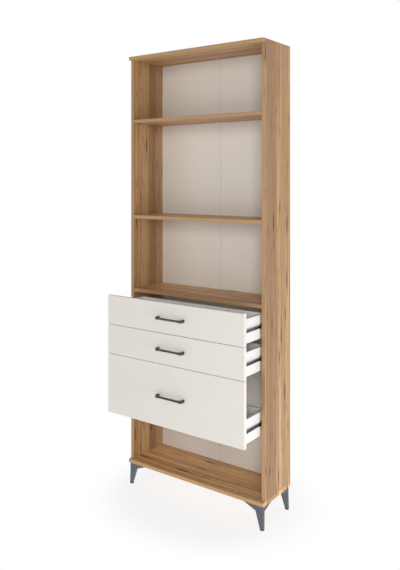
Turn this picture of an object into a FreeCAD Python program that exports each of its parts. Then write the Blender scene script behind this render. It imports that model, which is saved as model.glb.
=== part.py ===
import FreeCAD, Part
import math
import os
import Sketcher

# Tall open bookcase with three drawers, on corner legs.
# Millimetres, +Z up from the floor, +X to the right seen from the front, the front faces -Y.
# The origin is on the floor under the centre of the bottom board. The drawers stand pulled out.

SIZES = (
    # Carcass boards
    ("width", 700, "outside width"),
    ("leg_height", 98, "floor to the underside of the bottom board"),
    ("board", 16, "thickness of the carcass boards"),
    ("side_depth", 232, "depth of the sides, without the back"),
    ("edge_ease", 0.8, "rounding of the front edges of the boards"),
    ("bottom_bay", 264, "bottom board to the lower edge of the lower drawer"),
    ("lower_compartment", 329, "clear height over the shelf above the drawers"),
    ("middle_compartment", 434, "clear height over the middle shelf"),
    ("upper_compartment", 280, "clear height over the upper shelf"),
    ("shelf_play", 0.5, "room at each end of a shelf that rests on pins"),
    ("shelf_gap", 0.9, "room between the shelves and the joining strip of the back"),
    # Back
    ("back_thickness", 3, "thickness of the back panels"),
    ("back_inset", 2, "edge of the back from the outside of the carcass"),
    ("joint_face", 12, "width of the flanges of the joining strip"),
    ("joint_wall", 1, "wall of the joining strip"),
    # Legs
    ("leg_inset", 5, "corner of a leg from the edges of the bottom board"),
    ("leg_splay", 2, "how far a leg leans out on its way to the floor"),
    ("leg_arm", 86, "reach of a leg's arms under the board"),
    ("leg_step", 0.5, "face of a leg's arms behind the face of its post"),
    ("leg_wall", 4, "face of a leg's post to the inside of its arms"),
    ("leg_knee_width", 33, "width of a leg at its knee"),
    ("leg_knee_depth", 17, "depth of a leg at its knee"),
    ("leg_knee_drop", 25, "board to the knee"),
    ("leg_foot", 14, "width and depth of a leg at its foot"),
    ("leg_corner", 4, "rounding of a leg's outer corner"),
    ("leg_flange", 3, "thickness of a leg's screw plate"),
    ("leg_screw_end", 36, "outer screws of a leg from the end of its arm"),
    ("leg_screw_inset", 14, "outer screws of a leg from its face"),
    ("leg_screw_corner", 27, "inner screw of a leg from both faces"),
    ("glide_height", 6, "thickness of the glide under a leg"),
    ("glide_lug", 8, "width of the lug that holds a glide in its leg"),
    ("glide_lug_height", 10, "height of that lug"),
    # Drawer fronts
    ("front_thickness", 16, "thickness of the drawer fronts"),
    ("front_standoff", 1, "closed front to the edges of the sides"),
    ("front_margin", 1.5, "edge of a front from the outside of the carcass"),
    ("front_drop", 11, "top of the shelf over the drawers to the top of the upper front"),
    ("front_gap", 2.5, "gap between two fronts"),
    ("front_rise", 33, "top of the upper and middle boxes to the top of their fronts"),
    ("lower_front_rise", 168, "top of the lower box to the top of its front"),
    # Drawer boxes
    ("box_board", 12, "thickness of the box boards"),
    ("box_height", 97, "height of the box"),
    ("rear_room", 22, "room behind a closed box"),
    ("bottom_thickness", 3, "thickness of the drawer bottom"),
    ("bottom_rise", 8, "lower edge of the box to the groove of its bottom"),
    ("groove_depth", 5, "depth of the groove"),
    ("groove_play", 0.2, "room around the bottom in its groove"),
    # Ball slides
    ("slide_room", 10, "how much shorter a slide is than its box"),
    ("slide_overlap", 48, "how much of its length a slide keeps engaged when it is pulled out"),
    ("slide_setback", 2, "edge of the side to the slide"),
    ("slide_rise", 50, "lower edge of the box to the middle of the slide"),
    ("inner_rail_height", 9.6, "height of the moving rail"),
    ("rail_wall", 1.2, "wall of both rails"),
    ("rail_lip", 1.1, "height of the lips that keep the balls in"),
    ("rail_lip_wall", 0.6, "wall of those lips"),
    ("rail_edge_gap", 0.6, "free edge of the fixed rail to the box"),
    ("rail_hole_margin", 12, "end of a rail to its first hole"),
    ("rail_slot_radius", 2.2, "radius of the open holes in the moving rail"),
    ("ball_radius", 1.85, "radius of a ball"),
    ("ball_play", 0.05, "room over and under a ball between the rails"),
    ("ball_side_play", 0.25, "room beside a ball between the lips of the rails"),
    ("ball_pitch", 12.5, "distance between the balls of a row"),
    ("cage_wall", 0.7, "wall of a ball cage"),
    ("cage_gap", 0.35, "room on both sides of the web of a ball cage"),
    ("cage_play", 2, "end of a cage to the end of the rail over it"),
    ("cage_hole_play", 0.15, "room around a ball in its cage"),
    ("ball_end", 5, "least distance from the end of a cage to a ball"),
    # Handles
    ("handle_spacing", 128, "distance between the screws of a handle"),
    ("handle_foot", 8, "width of a handle's foot"),
    ("handle_foot_height", 11.5, "height of a handle's foot"),
    ("handle_bar_height", 8, "height of a handle's bar"),
    ("handle_bar_depth", 6, "depth of a handle's bar"),
    ("handle_projection", 26, "front to the outside of a handle's bar"),
    ("handle_flare", 10, "length over which a handle narrows to its bar"),
    ("handle_bend", 9, "outer radius of a handle's bends"),
    ("handle_inner_bend", 4, "inner radius of a handle's bends"),
    ("handle_edge", 1, "rounding of a handle's edges"),
    # Fasteners
    ("fit_play", 0.05, "radial room of a fastener in its hole"),
    ("end_play", 0.5, "room past the end of a fastener"),
    ("carcass_screw_radius", 3.2, "shank of a carcass screw"),
    ("carcass_screw_head", 5, "head radius of a carcass screw"),
    ("carcass_screw_sink", 2.5, "depth of its countersunk head"),
    ("carcass_screw_length", 50, "length of a carcass screw"),
    ("carcass_screw_inset", 35, "edge of a side to its carcass screws"),
    ("dowel_radius", 4, "radius of a dowel"),
    ("dowel_length", 30, "length of a dowel"),
    ("dowel_taper", 1, "taper at the ends of a dowel"),
    ("dowel_in_face", 10, "depth of a dowel in the top or bottom board"),
    ("dowel_inset", 67, "edge of a side to its dowels"),
    ("pin_radius", 2.5, "radius of a shelf pin"),
    ("pin_in", 8, "depth of a shelf pin in the side"),
    ("pin_out", 10, "reach of a shelf pin under the shelf"),
    ("pin_inset", 35, "edge of a side to its shelf pins"),
    ("cam_radius", 6, "radius of a cam"),
    ("cam_height", 9.5, "height of a cam"),
    ("cam_cap", 2, "closed end of a cam"),
    ("cam_cross", 1.2, "half width of the driver slot of a cam"),
    ("cam_cross_arm", 4, "half length of that slot"),
    ("cam_cross_depth", 1.2, "depth of that slot"),
    ("cam_setback", 24, "end of a board to the axis of its cam"),
    ("shelf_cam_inset", 45, "edge of the drawer shelf to its cams"),
    ("box_cam_inset", 26.5, "lower and upper edge of a box to its cams"),
    ("bolt_radius", 2.5, "radius of a cam bolt"),
    ("bolt_neck", 1.5, "radius of a cam bolt's neck"),
    ("bolt_head", 3, "length of a cam bolt's head, and of its neck"),
    ("bolt_in", 10, "depth of a cam bolt's thread"),
    ("bolt_gap", 1, "end of a cam bolt to the axis of the cam"),
    ("nail_radius", 0.8, "shank of a nail"),
    ("nail_head", 2, "head radius of a nail"),
    ("nail_cap", 0.6, "thickness of a nail's head"),
    ("nail_length", 20, "length of a nail"),
    ("leg_screw_radius", 2, "shank of a leg screw"),
    ("leg_screw_head", 4, "head radius of a leg screw"),
    ("leg_screw_cap", 2.2, "height of a leg screw's head"),
    ("leg_screw_length", 15, "length of a leg screw"),
    ("rail_screw_radius", 1.6, "shank of a rail screw"),
    ("rail_screw_head", 3, "head radius of a rail screw"),
    ("rail_screw_cap", 1.4, "height of a rail screw's head"),
    ("rail_screw_length", 10, "length of a rail screw"),
    ("rear_screw_radius", 1.8, "shank of a screw in the rear of a box"),
    ("rear_screw_head", 3.5, "head radius of that screw"),
    ("rear_screw_sink", 2, "depth of its countersunk head"),
    ("rear_screw_length", 35, "length of that screw"),
    ("rear_screw_inset", 26.5, "lower and upper edge of a box to its rear screws"),
    ("handle_screw_radius", 2, "shank of a handle screw"),
    ("handle_screw_head", 4, "head radius of a handle screw"),
    ("handle_screw_cap", 2.5, "height of a handle screw's head"),
    ("handle_screw_in", 9, "depth of a handle screw in the handle"),
)

SIDE_NAIL_COUNT = 7
EDGE_NAIL_COUNT = 2
RAIL_HOLE_COUNT = 7
RAIL_SCREW_HOLES = (1, 5)

# Radius of the free edges of a leg's arms, as a share of their wall, so that they are rounder than flat
LEG_EDGE_ROUND = 0.6
# Largest upward part of the normal of a face that still counts as upright
UPRIGHT_LIMIT = 0.1

# Directions in which holes run and fasteners point
LEFT, RIGHT = (-1, 0, 0), (1, 0, 0)
FORWARD, BACKWARD = (0, -1, 0), (0, 1, 0)
DOWN, UP = (0, 0, -1), (0, 0, 1)
OUTWARD = {-1: LEFT, 1: RIGHT}
INWARD = {-1: RIGHT, 1: LEFT}
SIDE_NAMES = {-1: "left", 1: "right"}

# Planes, edges and lengths that several pieces share, as expressions of the sheet
OVERHANG = "(Sizes.front_thickness + Sizes.front_standoff)"
BOARD_DEPTH = f"(Sizes.side_depth + {OVERHANG})"
FRONT_EDGE = f"(-{BOARD_DEPTH} / 2)"
REAR_EDGE = f"({BOARD_DEPTH} / 2)"
SIDE_EDGE = f"({FRONT_EDGE} + {OVERHANG})"
SIDE_FOOT = "(Sizes.leg_height + Sizes.board)"
INNER_HALF = "(Sizes.width / 2 - Sizes.board)"
SIDE_MIDDLE = "(Sizes.width / 2 - Sizes.board / 2)"
LEG_LENGTH = "(Sizes.leg_height - Sizes.glide_height)"
HANDLE_HALF = "((Sizes.handle_spacing + Sizes.handle_foot) / 2)"

# Heights, stacked from the floor
SMALL_FRONT = "(Sizes.box_height + Sizes.front_rise)"
LARGE_FRONT = "(Sizes.box_height + Sizes.lower_front_rise)"
LOWER_BASE = f"({SIDE_FOOT} + Sizes.bottom_bay)"
MIDDLE_BASE = f"({LOWER_BASE} + {LARGE_FRONT} + Sizes.front_gap)"
UPPER_BASE = f"({MIDDLE_BASE} + {SMALL_FRONT} + Sizes.front_gap)"
DRAWER_SHELF_TOP = f"({UPPER_BASE} + {SMALL_FRONT} + Sizes.front_drop)"
MIDDLE_SHELF_TOP = f"({DRAWER_SHELF_TOP} + Sizes.lower_compartment + Sizes.board)"
UPPER_SHELF_TOP = f"({MIDDLE_SHELF_TOP} + Sizes.middle_compartment + Sizes.board)"
SIDE_HEAD = f"({UPPER_SHELF_TOP} + Sizes.upper_compartment)"
TOP = f"({SIDE_HEAD} + Sizes.board)"
DRAWER_BASES = (UPPER_BASE, MIDDLE_BASE, LOWER_BASE)

# Section of a ball slide, counted from the carcass
BALL_ROOM = "(2 * (Sizes.ball_radius + Sizes.ball_play))"
OUTER_RAIL_HEIGHT = f"(Sizes.inner_rail_height + 2 * (Sizes.rail_wall + {BALL_ROOM}))"
RACE_LINE = f"((Sizes.inner_rail_height + {BALL_ROOM}) / 2)"
CAGE_LINE = "(Sizes.rail_wall + Sizes.rail_screw_cap + Sizes.cage_gap)"
RAIL_TIP = f"({CAGE_LINE} + Sizes.cage_wall + Sizes.cage_gap)"
HALF_RACE = "(Sizes.ball_radius + Sizes.ball_side_play)"
BALL_LINE = f"({RAIL_TIP} + Sizes.rail_lip_wall + {HALF_RACE})"
RAIL_EDGE = f"({BALL_LINE} + {HALF_RACE} + Sizes.rail_lip_wall)"
SLIDE_THICKNESS = f"({RAIL_EDGE} + Sizes.rail_edge_gap)"

# Depths of the drawers, which stand open by the whole travel of their slides
BOX_HALF = f"({INNER_HALF} - {SLIDE_THICKNESS})"
BOX_LENGTH = "(Sizes.side_depth - Sizes.rear_room)"
SLIDE_LENGTH = f"({BOX_LENGTH} - Sizes.slide_room)"
SLIDE_MIDDLE = f"({SIDE_EDGE} + Sizes.slide_setback + {SLIDE_LENGTH} / 2)"
TRAVEL = f"({SLIDE_LENGTH} - Sizes.slide_overlap)"
BOX_FRONT = f"({SIDE_EDGE} - Sizes.front_standoff - {TRAVEL})"
BOX_REAR = f"({BOX_FRONT} + {BOX_LENGTH})"
CAGE_LENGTH = "(Sizes.slide_overlap - 2 * Sizes.cage_play)"
CAGE_MIDDLE = f"({SIDE_EDGE} + Sizes.slide_setback + Sizes.slide_overlap / 2)"

doc = FreeCAD.newDocument("Bookcase")
sheet = doc.addObject("Spreadsheet::Sheet", "Sizes")
for row, (alias, size, note) in enumerate(SIZES, start=1):
    sheet.set(f"A{row}", note)
    sheet.set(f"B{row}", str(size))
    sheet.setAlias(f"B{row}", alias)
doc.recompute()

nodes = []


def number(expression):
    """Value of an expression of the sheet, in millimetres."""
    return float(sheet.evalExpression(expression))


def vector(point):
    """Vector of a point given as three expressions."""
    return FreeCAD.Vector(*[number(expression) for expression in point])


def turn_to(direction):
    """Rotation that points a piece's own Z axis in a direction."""
    return FreeCAD.Rotation(FreeCAD.Vector(0, 0, 1), FreeCAD.Vector(*direction))


def place(piece, point, rotation=None):
    """Put a piece's own origin at a point of the shared frame."""
    if rotation is not None:
        piece.Placement = FreeCAD.Placement(FreeCAD.Vector(), rotation)
    for axis, expression in zip("xyz", point):
        piece.setExpression(f"Placement.Base.{axis}", expression)


def signed(sign, expression):
    """Expression on the left (-1) or right (1) of the middle."""
    return expression if sign > 0 else f"-({expression})"


def spread(low, high, count):
    """Expressions of points spread evenly between two ends, half a step from each."""
    return [f"({low} + ({high} - {low}) * {2 * step + 1} / {2 * count})" for step in range(count)]


# Boards

class Hole:
    """Round hole, from its mouth at a point of the shared frame."""

    def __init__(self, mouth, direction, radius, depth):
        self.mouth = mouth
        self.direction = direction
        self.radius = radius
        self.depth = depth

    def tool(self, corner):
        """Cutter in the frame of a board whose corner is given."""
        cutter = doc.addObject("Part::Cylinder", "Hole")
        cutter.setExpression("Radius", self.radius)
        cutter.setExpression("Height", self.depth)
        place(cutter, relative(self.mouth, corner), turn_to(self.direction))
        return cutter


class Sink(Hole):
    """Countersink that narrows from the head's radius to the shank's."""

    def __init__(self, mouth, direction, radius, depth, shank):
        super().__init__(mouth, direction, radius, depth)
        self.shank = shank

    def tool(self, corner):
        """Cutter in the frame of a board whose corner is given."""
        cutter = doc.addObject("Part::Cone", "Sink")
        cutter.setExpression("Radius1", self.radius)
        cutter.setExpression("Radius2", self.shank)
        cutter.setExpression("Height", self.depth)
        place(cutter, relative(self.mouth, corner), turn_to(self.direction))
        return cutter


class Groove:
    """Square-cornered cut, from its lowest corner in the shared frame."""

    def __init__(self, lowest, size):
        self.lowest = lowest
        self.size = size

    def tool(self, corner):
        """Cutter in the frame of a board whose corner is given."""
        cutter = doc.addObject("Part::Box", "Groove")
        for side, expression in zip(("Length", "Width", "Height"), self.size):
            cutter.setExpression(side, expression)
        place(cutter, relative(self.lowest, corner))
        return cutter


def relative(point, corner):
    """A point of the shared frame, seen from a corner."""
    return [f"{here} - ({there})" for here, there in zip(point, corner)]


def eased(blank, label):
    """A board with the edges of its front face rounded."""
    blank.recompute()
    radius = number("Sizes.edge_ease")
    rounded = doc.addObject("Part::Fillet", f"{label}_eased")
    rounded.Base = blank
    rounded.Edges = [
        (index, radius, radius)
        for index, edge in enumerate(blank.Shape.Edges, start=1)
        if edge.BoundBox.YMax < radius / 2
    ]
    return rounded


def board(label, corner, size, cuts=(), ease=False):
    """Board cut to size from its lowest corner, with its holes and grooves, as a node."""
    piece = doc.addObject("Part::Box", f"{label}_blank")
    for side, expression in zip(("Length", "Width", "Height"), size):
        piece.setExpression(side, expression)
    if ease:
        piece = eased(piece, label)
    if cuts:
        cutters = doc.addObject("Part::MultiFuse", f"{label}_cutters")
        cutters.Shapes = [cut.tool(corner) for cut in cuts]
        whole = piece
        piece = doc.addObject("Part::Cut", f"{label}_cut")
        piece.Base = whole
        piece.Tool = cutters
    place(piece, corner)
    return as_node(piece, label)


def as_node(piece, label):
    """Name a finished piece and keep it as a node of the assembly."""
    piece.Label = label
    nodes.append(piece)
    return piece


# Sketched pieces

def new_body(name):
    """Empty body for a sketched piece."""
    return doc.addObject("PartDesign::Body", name)


def new_sketch(body, name, role, offset="0"):
    """Sketch on one of a body's own planes, moved along the plane's normal."""
    sketch = body.newObject("Sketcher::SketchObject", name)
    plane = next(item for item in body.Origin.OriginFeatures if item.Role == role)
    sketch.AttachmentSupport = [(plane, "")]
    sketch.MapMode = "FlatFace"
    sketch.setExpression("AttachmentOffset.Base.z", offset)
    return sketch


def pin_point(sketch, geometry, position, point):
    """Tie a sketch point to its two coordinates."""
    for kind, expression in zip(("DistanceX", "DistanceY"), point):
        constraint = Sketcher.Constraint(kind, -1, 1, geometry, position, number(expression))
        sketch.setExpression(f"Constraints[{sketch.addConstraint(constraint)}]", expression)


def pin_radius(sketch, geometry, expression):
    """Tie the radius of a circle or an arc."""
    constraint = Sketcher.Constraint("Radius", geometry, number(expression))
    sketch.setExpression(f"Constraints[{sketch.addConstraint(constraint)}]", expression)


def arc_between(start, end, radius, left_turn):
    """Arc of less than a half circle from one point to another."""
    chord = end - start
    rise = math.sqrt(radius ** 2 - (chord.Length / 2) ** 2)
    normal = FreeCAD.Vector(-chord.y, chord.x, 0).normalize()
    centre = (start + end) / 2 + normal * (rise if left_turn else -rise)
    first, last = (start, end) if left_turn else (end, start)
    angles = [math.atan2(point.y - centre.y, point.x - centre.x) for point in (first, last)]
    if angles[1] < angles[0]:
        angles[1] += 2 * math.pi
    circle = Part.Circle(centre, FreeCAD.Vector(0, 0, 1), radius)
    return Part.ArcOfCircle(circle, *angles)


def outline(sketch, steps):
    """Closed outline. A step is a point, or a point, a radius and +1 or -1 where an arc leads to it
    that turns left or right."""
    points = [FreeCAD.Vector(number(step[0]), number(step[1]), 0) for step in steps]
    first = sketch.GeometryCount
    starts, ends = [], []
    for index, step in enumerate(steps):
        left_turn = len(step) == 2 or step[3] > 0
        if len(step) == 2:
            segment = Part.LineSegment(points[index - 1], points[index])
        else:
            segment = arc_between(points[index - 1], points[index], number(step[2]), left_turn)
        sketch.addGeometry(segment, False)
        starts.append(1 if left_turn else 2)
        ends.append(2 if left_turn else 1)
    for index, step in enumerate(steps):
        following = (index + 1) % len(steps)
        meeting = (first + index, ends[index], first + following, starts[following])
        sketch.addConstraint(Sketcher.Constraint("Coincident", *meeting))
        pin_point(sketch, first + index, ends[index], step[:2])
        if len(step) > 2:
            pin_radius(sketch, first + index, step[2])


def circles(sketch, centres, radius):
    """Circles of one radius."""
    for centre in centres:
        circle = Part.Circle(
            FreeCAD.Vector(number(centre[0]), number(centre[1]), 0), FreeCAD.Vector(0, 0, 1), number(radius)
        )
        geometry = sketch.addGeometry(circle, False)
        pin_point(sketch, geometry, 3, centre)
        pin_radius(sketch, geometry, radius)


def add_feature(body, kind, name, sketch):
    """Feature on a sketch, as the new tip of its body."""
    feature = body.newObject(f"PartDesign::{kind}", name)
    feature.Profile = sketch
    body.Tip = feature
    return feature


def pad(body, name, sketch, length, side="One side", reverse=False):
    """Pad of a sketch."""
    feature = add_feature(body, "Pad", name, sketch)
    feature.SideType = side
    feature.Reversed = reverse
    feature.setExpression("Length", length)


def pocket_through(body, name, sketch):
    """Pocket right through the body, both ways."""
    feature = add_feature(body, "Pocket", name, sketch)
    feature.SideType = "Symmetric"
    feature.Type = "ThroughAll"


def pocket_blind(body, name, sketch, depth, reverse=False):
    """Pocket of a set depth."""
    feature = add_feature(body, "Pocket", name, sketch)
    feature.Reversed = reverse
    feature.setExpression("Length", depth)


def turned(name, profile):
    """Body of revolution about Z from a half profile of radius and height."""
    body = new_body(name)
    sketch = new_sketch(body, f"{name}_profile", "XZ_Plane")
    outline(sketch, profile)
    feature = add_feature(body, "Revolution", f"{name}_turned", sketch)
    feature.ReferenceAxis = (sketch, ["V_Axis"])
    return body


def group(label, members):
    """Node of identical pieces. Each member is a pattern piece and the seats it is copied to, and a seat
    is a point and a rotation."""
    copies = []
    for pattern, seats in members:
        for point, rotation in seats:
            copy = pattern.Shape.copy()
            copy.Placement = FreeCAD.Placement(vector(point), rotation)
            copies.append(copy)
    node = doc.addObject("Part::Feature", label)
    node.Shape = Part.Compound(copies)
    node.Placement = FreeCAD.Placement()
    return as_node(node, label)


# Fasteners. Each points along its own +Z from the face that it is driven into.

def point_of(shank, length):
    """End of a shank of a given radius and length, with a point as long as the shank is thick."""
    return [(shank, f"({length} - 2 * {shank})"), ("0", length)]


def flat_head_screw(name):
    """Countersunk wood screw."""
    shank = f"Sizes.{name}_radius"
    profile = [("0", "0"), (f"Sizes.{name}_head", "0"), (shank, f"Sizes.{name}_sink")]
    return turned(name, profile + point_of(shank, f"Sizes.{name}_length"))


def pan_head(name):
    """Outline of a head that stands on the face, its rim chamfered by half its height."""
    head = f"Sizes.{name}_head"
    cap = f"Sizes.{name}_cap"
    return [
        ("0", f"-{cap}"),
        (f"({head} - {cap} / 2)", f"-{cap}"),
        (head, f"-{cap} / 2"),
        (head, "0"),
        (f"Sizes.{name}_radius", "0"),
    ]


def pan_head_screw(name):
    """Wood screw whose head stands on the face."""
    return turned(name, pan_head(name) + point_of(f"Sizes.{name}_radius", f"Sizes.{name}_length"))


def handle_screw_pattern():
    """Machine screw that runs through a front into its handle."""
    length = "(Sizes.front_thickness + Sizes.handle_screw_in)"
    end = [("Sizes.handle_screw_radius", length), ("0", length)]
    return turned("handle_screw", pan_head("handle_screw") + end)


def dowel_pattern():
    """Dowel with tapered ends, from its end in the top or bottom board."""
    taper = "Sizes.dowel_taper"
    return turned("dowel", (
        ("0", "0"),
        (f"(Sizes.dowel_radius - {taper})", "0"),
        ("Sizes.dowel_radius", taper),
        ("Sizes.dowel_radius", f"(Sizes.dowel_length - {taper})"),
        (f"(Sizes.dowel_radius - {taper})", "Sizes.dowel_length"),
        ("0", "Sizes.dowel_length"),
    ))


def shelf_pin_pattern():
    """Plain shelf pin, part in the side and part under the shelf."""
    return turned("shelf_pin", (
        ("0", "-Sizes.pin_out"),
        ("Sizes.pin_radius", "-Sizes.pin_out"),
        ("Sizes.pin_radius", "Sizes.pin_in"),
        ("0", "Sizes.pin_in"),
    ))


def nail_pattern():
    """Flat-headed panel nail."""
    profile = [
        ("0", "-Sizes.nail_cap"),
        ("Sizes.nail_head", "-Sizes.nail_cap"),
        ("Sizes.nail_head", "0"),
        ("Sizes.nail_radius", "0"),
    ]
    return turned("nail", profile + point_of("Sizes.nail_radius", "Sizes.nail_length"))


def cam_bolt_pattern():
    """Cam bolt: thread along -Z, shank, neck and head along +Z to the cam."""
    reach = "(Sizes.cam_setback - Sizes.bolt_gap)"
    return turned("cam_bolt", (
        ("0", "-Sizes.bolt_in"),
        ("Sizes.bolt_radius", "-Sizes.bolt_in"),
        ("Sizes.bolt_radius", f"({reach} - 2 * Sizes.bolt_head)"),
        ("Sizes.bolt_neck", f"({reach} - 2 * Sizes.bolt_head)"),
        ("Sizes.bolt_neck", f"({reach} - Sizes.bolt_head)"),
        ("Sizes.bolt_radius", f"({reach} - Sizes.bolt_head)"),
        ("Sizes.bolt_radius", reach),
        ("0", reach),
    ))


def cam_pattern():
    """Cam that lies in its hole from z = 0 down, with a slot for the bolt along its own -X."""
    body = new_body("cam")
    disc = new_sketch(body, "cam_disc", "XY_Plane")
    circles(disc, [("0", "0")], "Sizes.cam_radius")
    pad(body, "cam_pad", disc, "Sizes.cam_height", reverse=True)
    slot = new_sketch(body, "cam_slot", "XY_Plane", "-Sizes.cam_cap")
    half = "(Sizes.bolt_radius + 2 * Sizes.fit_play)"
    past = "(2 * Sizes.cam_radius)"
    outline(slot, (
        ("0", f"-{half}"),
        ("0", half),
        (f"-{past}", half),
        (f"-{past}", f"-{half}"),
    ))
    pocket_blind(body, "cam_slot_cut", slot, "Sizes.cam_height")
    cross = new_sketch(body, "cam_cross", "XY_Plane")
    outline(cross, (
        ("Sizes.cam_cross_arm", "-Sizes.cam_cross"),
        ("Sizes.cam_cross_arm", "Sizes.cam_cross"),
        ("-Sizes.cam_cross_arm", "Sizes.cam_cross"),
        ("-Sizes.cam_cross_arm", "-Sizes.cam_cross"),
    ))
    pocket_blind(body, "cam_cross_cut", cross, "Sizes.cam_cross_depth")
    return body


# Seats shared by the boards and their fasteners

def joint_rows(inset):
    """Depths at which the sides are joined to the top and bottom boards."""
    return [f"({SIDE_EDGE} + Sizes.{inset})", f"({REAR_EDGE} - Sizes.{inset})"]


SCREW_ROWS = joint_rows("carcass_screw_inset")
DOWEL_ROWS = joint_rows("dowel_inset")
PIN_ROWS = joint_rows("pin_inset")
CAM_ROWS = joint_rows("shelf_cam_inset")
PIN_SHELVES = {"upper_shelf": UPPER_SHELF_TOP, "middle_shelf": MIDDLE_SHELF_TOP}
DRAWER_SHELF_BASE = f"({DRAWER_SHELF_TOP} - Sizes.board)"
SHELF_BOLT_HEIGHT = f"({DRAWER_SHELF_TOP} - Sizes.board / 2)"
NAIL_HEIGHTS = spread(SIDE_FOOT, SIDE_HEAD, SIDE_NAIL_COUNT)
NAIL_COLUMNS = spread("0", INNER_HALF, EDGE_NAIL_COUNT)
TOP_NAIL_HEIGHT = f"({TOP} - Sizes.board / 2)"
BOTTOM_NAIL_HEIGHT = "(Sizes.leg_height + Sizes.board / 2)"
RAIL_HOLE_STEP = f"(({SLIDE_LENGTH} - 2 * Sizes.rail_hole_margin) / {RAIL_HOLE_COUNT - 1})"
RAIL_HOLE_OFFSETS = [
    f"({RAIL_HOLE_STEP} * {2 * step - RAIL_HOLE_COUNT + 1} / 2)" for step in range(RAIL_HOLE_COUNT)
]
LEG_CORNERS = {
    "front_left_leg": (-1, -1, 0),
    "front_right_leg": (1, -1, 90),
    "rear_right_leg": (1, 1, 180),
    "rear_left_leg": (-1, 1, 270),
}
LEG_SCREW_REACH = "(Sizes.leg_arm - Sizes.leg_screw_end)"
LEG_SCREWS = (
    ("Sizes.leg_screw_corner", "Sizes.leg_screw_corner"),
    (LEG_SCREW_REACH, "Sizes.leg_screw_inset"),
    ("Sizes.leg_screw_inset", LEG_SCREW_REACH),
)


def pin_height(shelf):
    """Height of the axis of the pins under a shelf."""
    return f"({PIN_SHELVES[shelf]} - Sizes.board - Sizes.pin_radius)"


def slide_height(base):
    """Height of the middle of the slides of a drawer whose lower edge is given."""
    return f"({base} + Sizes.slide_rise)"


def leg_corner(across, along):
    """Outer corner of a leg under the board, from its signs across and along."""
    return (
        signed(across, "(Sizes.width / 2 - Sizes.leg_inset)"),
        signed(along, f"({REAR_EDGE} - Sizes.leg_inset)"),
        "Sizes.leg_height",
    )


def leg_screw_points():
    """Where the leg screws enter the bottom board."""
    points = []
    for across, along, _ in LEG_CORNERS.values():
        x, y, z = leg_corner(across, along)
        for reach, inset in LEG_SCREWS:
            points.append((f"({x} + {signed(-across, reach)})", f"({y} + {signed(-along, inset)})", z))
    return points


def drilled(point, direction, name, depth):
    """Hole for the shank of a named fastener, with its room."""
    return Hole(point, direction, f"Sizes.{name}_radius + Sizes.fit_play", depth)


def sunk(point, direction, name):
    """Countersink for the head of a named fastener, with its room."""
    return Sink(
        point,
        direction,
        f"Sizes.{name}_head + Sizes.fit_play",
        f"Sizes.{name}_sink",
        f"Sizes.{name}_radius + Sizes.fit_play",
    )


def nail_hole(point):
    """Hole for a nail in the rear edge of a board."""
    return drilled(point, FORWARD, "nail", "Sizes.nail_length - Sizes.back_thickness + Sizes.end_play")


# Carcass

def side_panel(sign):
    """Left or right side, between the bottom and the top board."""
    middle = signed(sign, SIDE_MIDDLE)
    inside = signed(sign, INNER_HALF)
    screw_depth = "Sizes.carcass_screw_length - Sizes.board + Sizes.end_play"
    dowel_depth = "Sizes.dowel_length - Sizes.dowel_in_face + Sizes.end_play"
    cuts = []
    for end, direction in ((SIDE_HEAD, DOWN), (SIDE_FOOT, UP)):
        cuts += [drilled((middle, y, end), direction, "carcass_screw", screw_depth) for y in SCREW_ROWS]
        cuts += [drilled((middle, y, end), direction, "dowel", dowel_depth) for y in DOWEL_ROWS]
    for shelf in PIN_SHELVES:
        for y in PIN_ROWS:
            point = (inside, y, pin_height(shelf))
            cuts.append(drilled(point, OUTWARD[sign], "pin", "Sizes.pin_in + Sizes.end_play"))
    for y in CAM_ROWS:
        point = (inside, y, SHELF_BOLT_HEIGHT)
        cuts.append(drilled(point, OUTWARD[sign], "bolt", "Sizes.bolt_in + Sizes.end_play"))
    for base in DRAWER_BASES:
        for step in RAIL_SCREW_HOLES:
            point = (inside, f"({SLIDE_MIDDLE} + {RAIL_HOLE_OFFSETS[step]})", slide_height(base))
            cuts.append(drilled(point, OUTWARD[sign], "rail_screw", "Sizes.rail_screw_length"))
    cuts += [nail_hole((middle, REAR_EDGE, z)) for z in NAIL_HEIGHTS]
    outside = "(Sizes.width / 2)" if sign < 0 else INNER_HALF
    corner = (signed(sign, outside), SIDE_EDGE, SIDE_FOOT)
    size = ("Sizes.board", "Sizes.side_depth", f"{SIDE_HEAD} - {SIDE_FOOT}")
    board(f"{SIDE_NAMES[sign]}_side_panel", corner, size, cuts, ease=True)


def end_board(label, base, outer, inner, direction, nail_height, extra_cuts=()):
    """Top or bottom board, with its joints to the sides. Its outer and inner faces are heights."""
    cuts = list(extra_cuts)
    inwards = UP if direction == DOWN else DOWN
    for sign in (-1, 1):
        middle = signed(sign, SIDE_MIDDLE)
        for y in SCREW_ROWS:
            cuts.append(drilled((middle, y, outer), direction, "carcass_screw", "Sizes.board"))
            cuts.append(sunk((middle, y, outer), direction, "carcass_screw"))
        for y in DOWEL_ROWS:
            cuts.append(drilled((middle, y, inner), inwards, "dowel", "Sizes.dowel_in_face"))
        for x in NAIL_COLUMNS:
            cuts.append(nail_hole((signed(sign, x), REAR_EDGE, nail_height)))
    corner = ("-Sizes.width / 2", FRONT_EDGE, base)
    board(label, corner, ("Sizes.width", BOARD_DEPTH, "Sizes.board"), cuts, ease=True)


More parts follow.
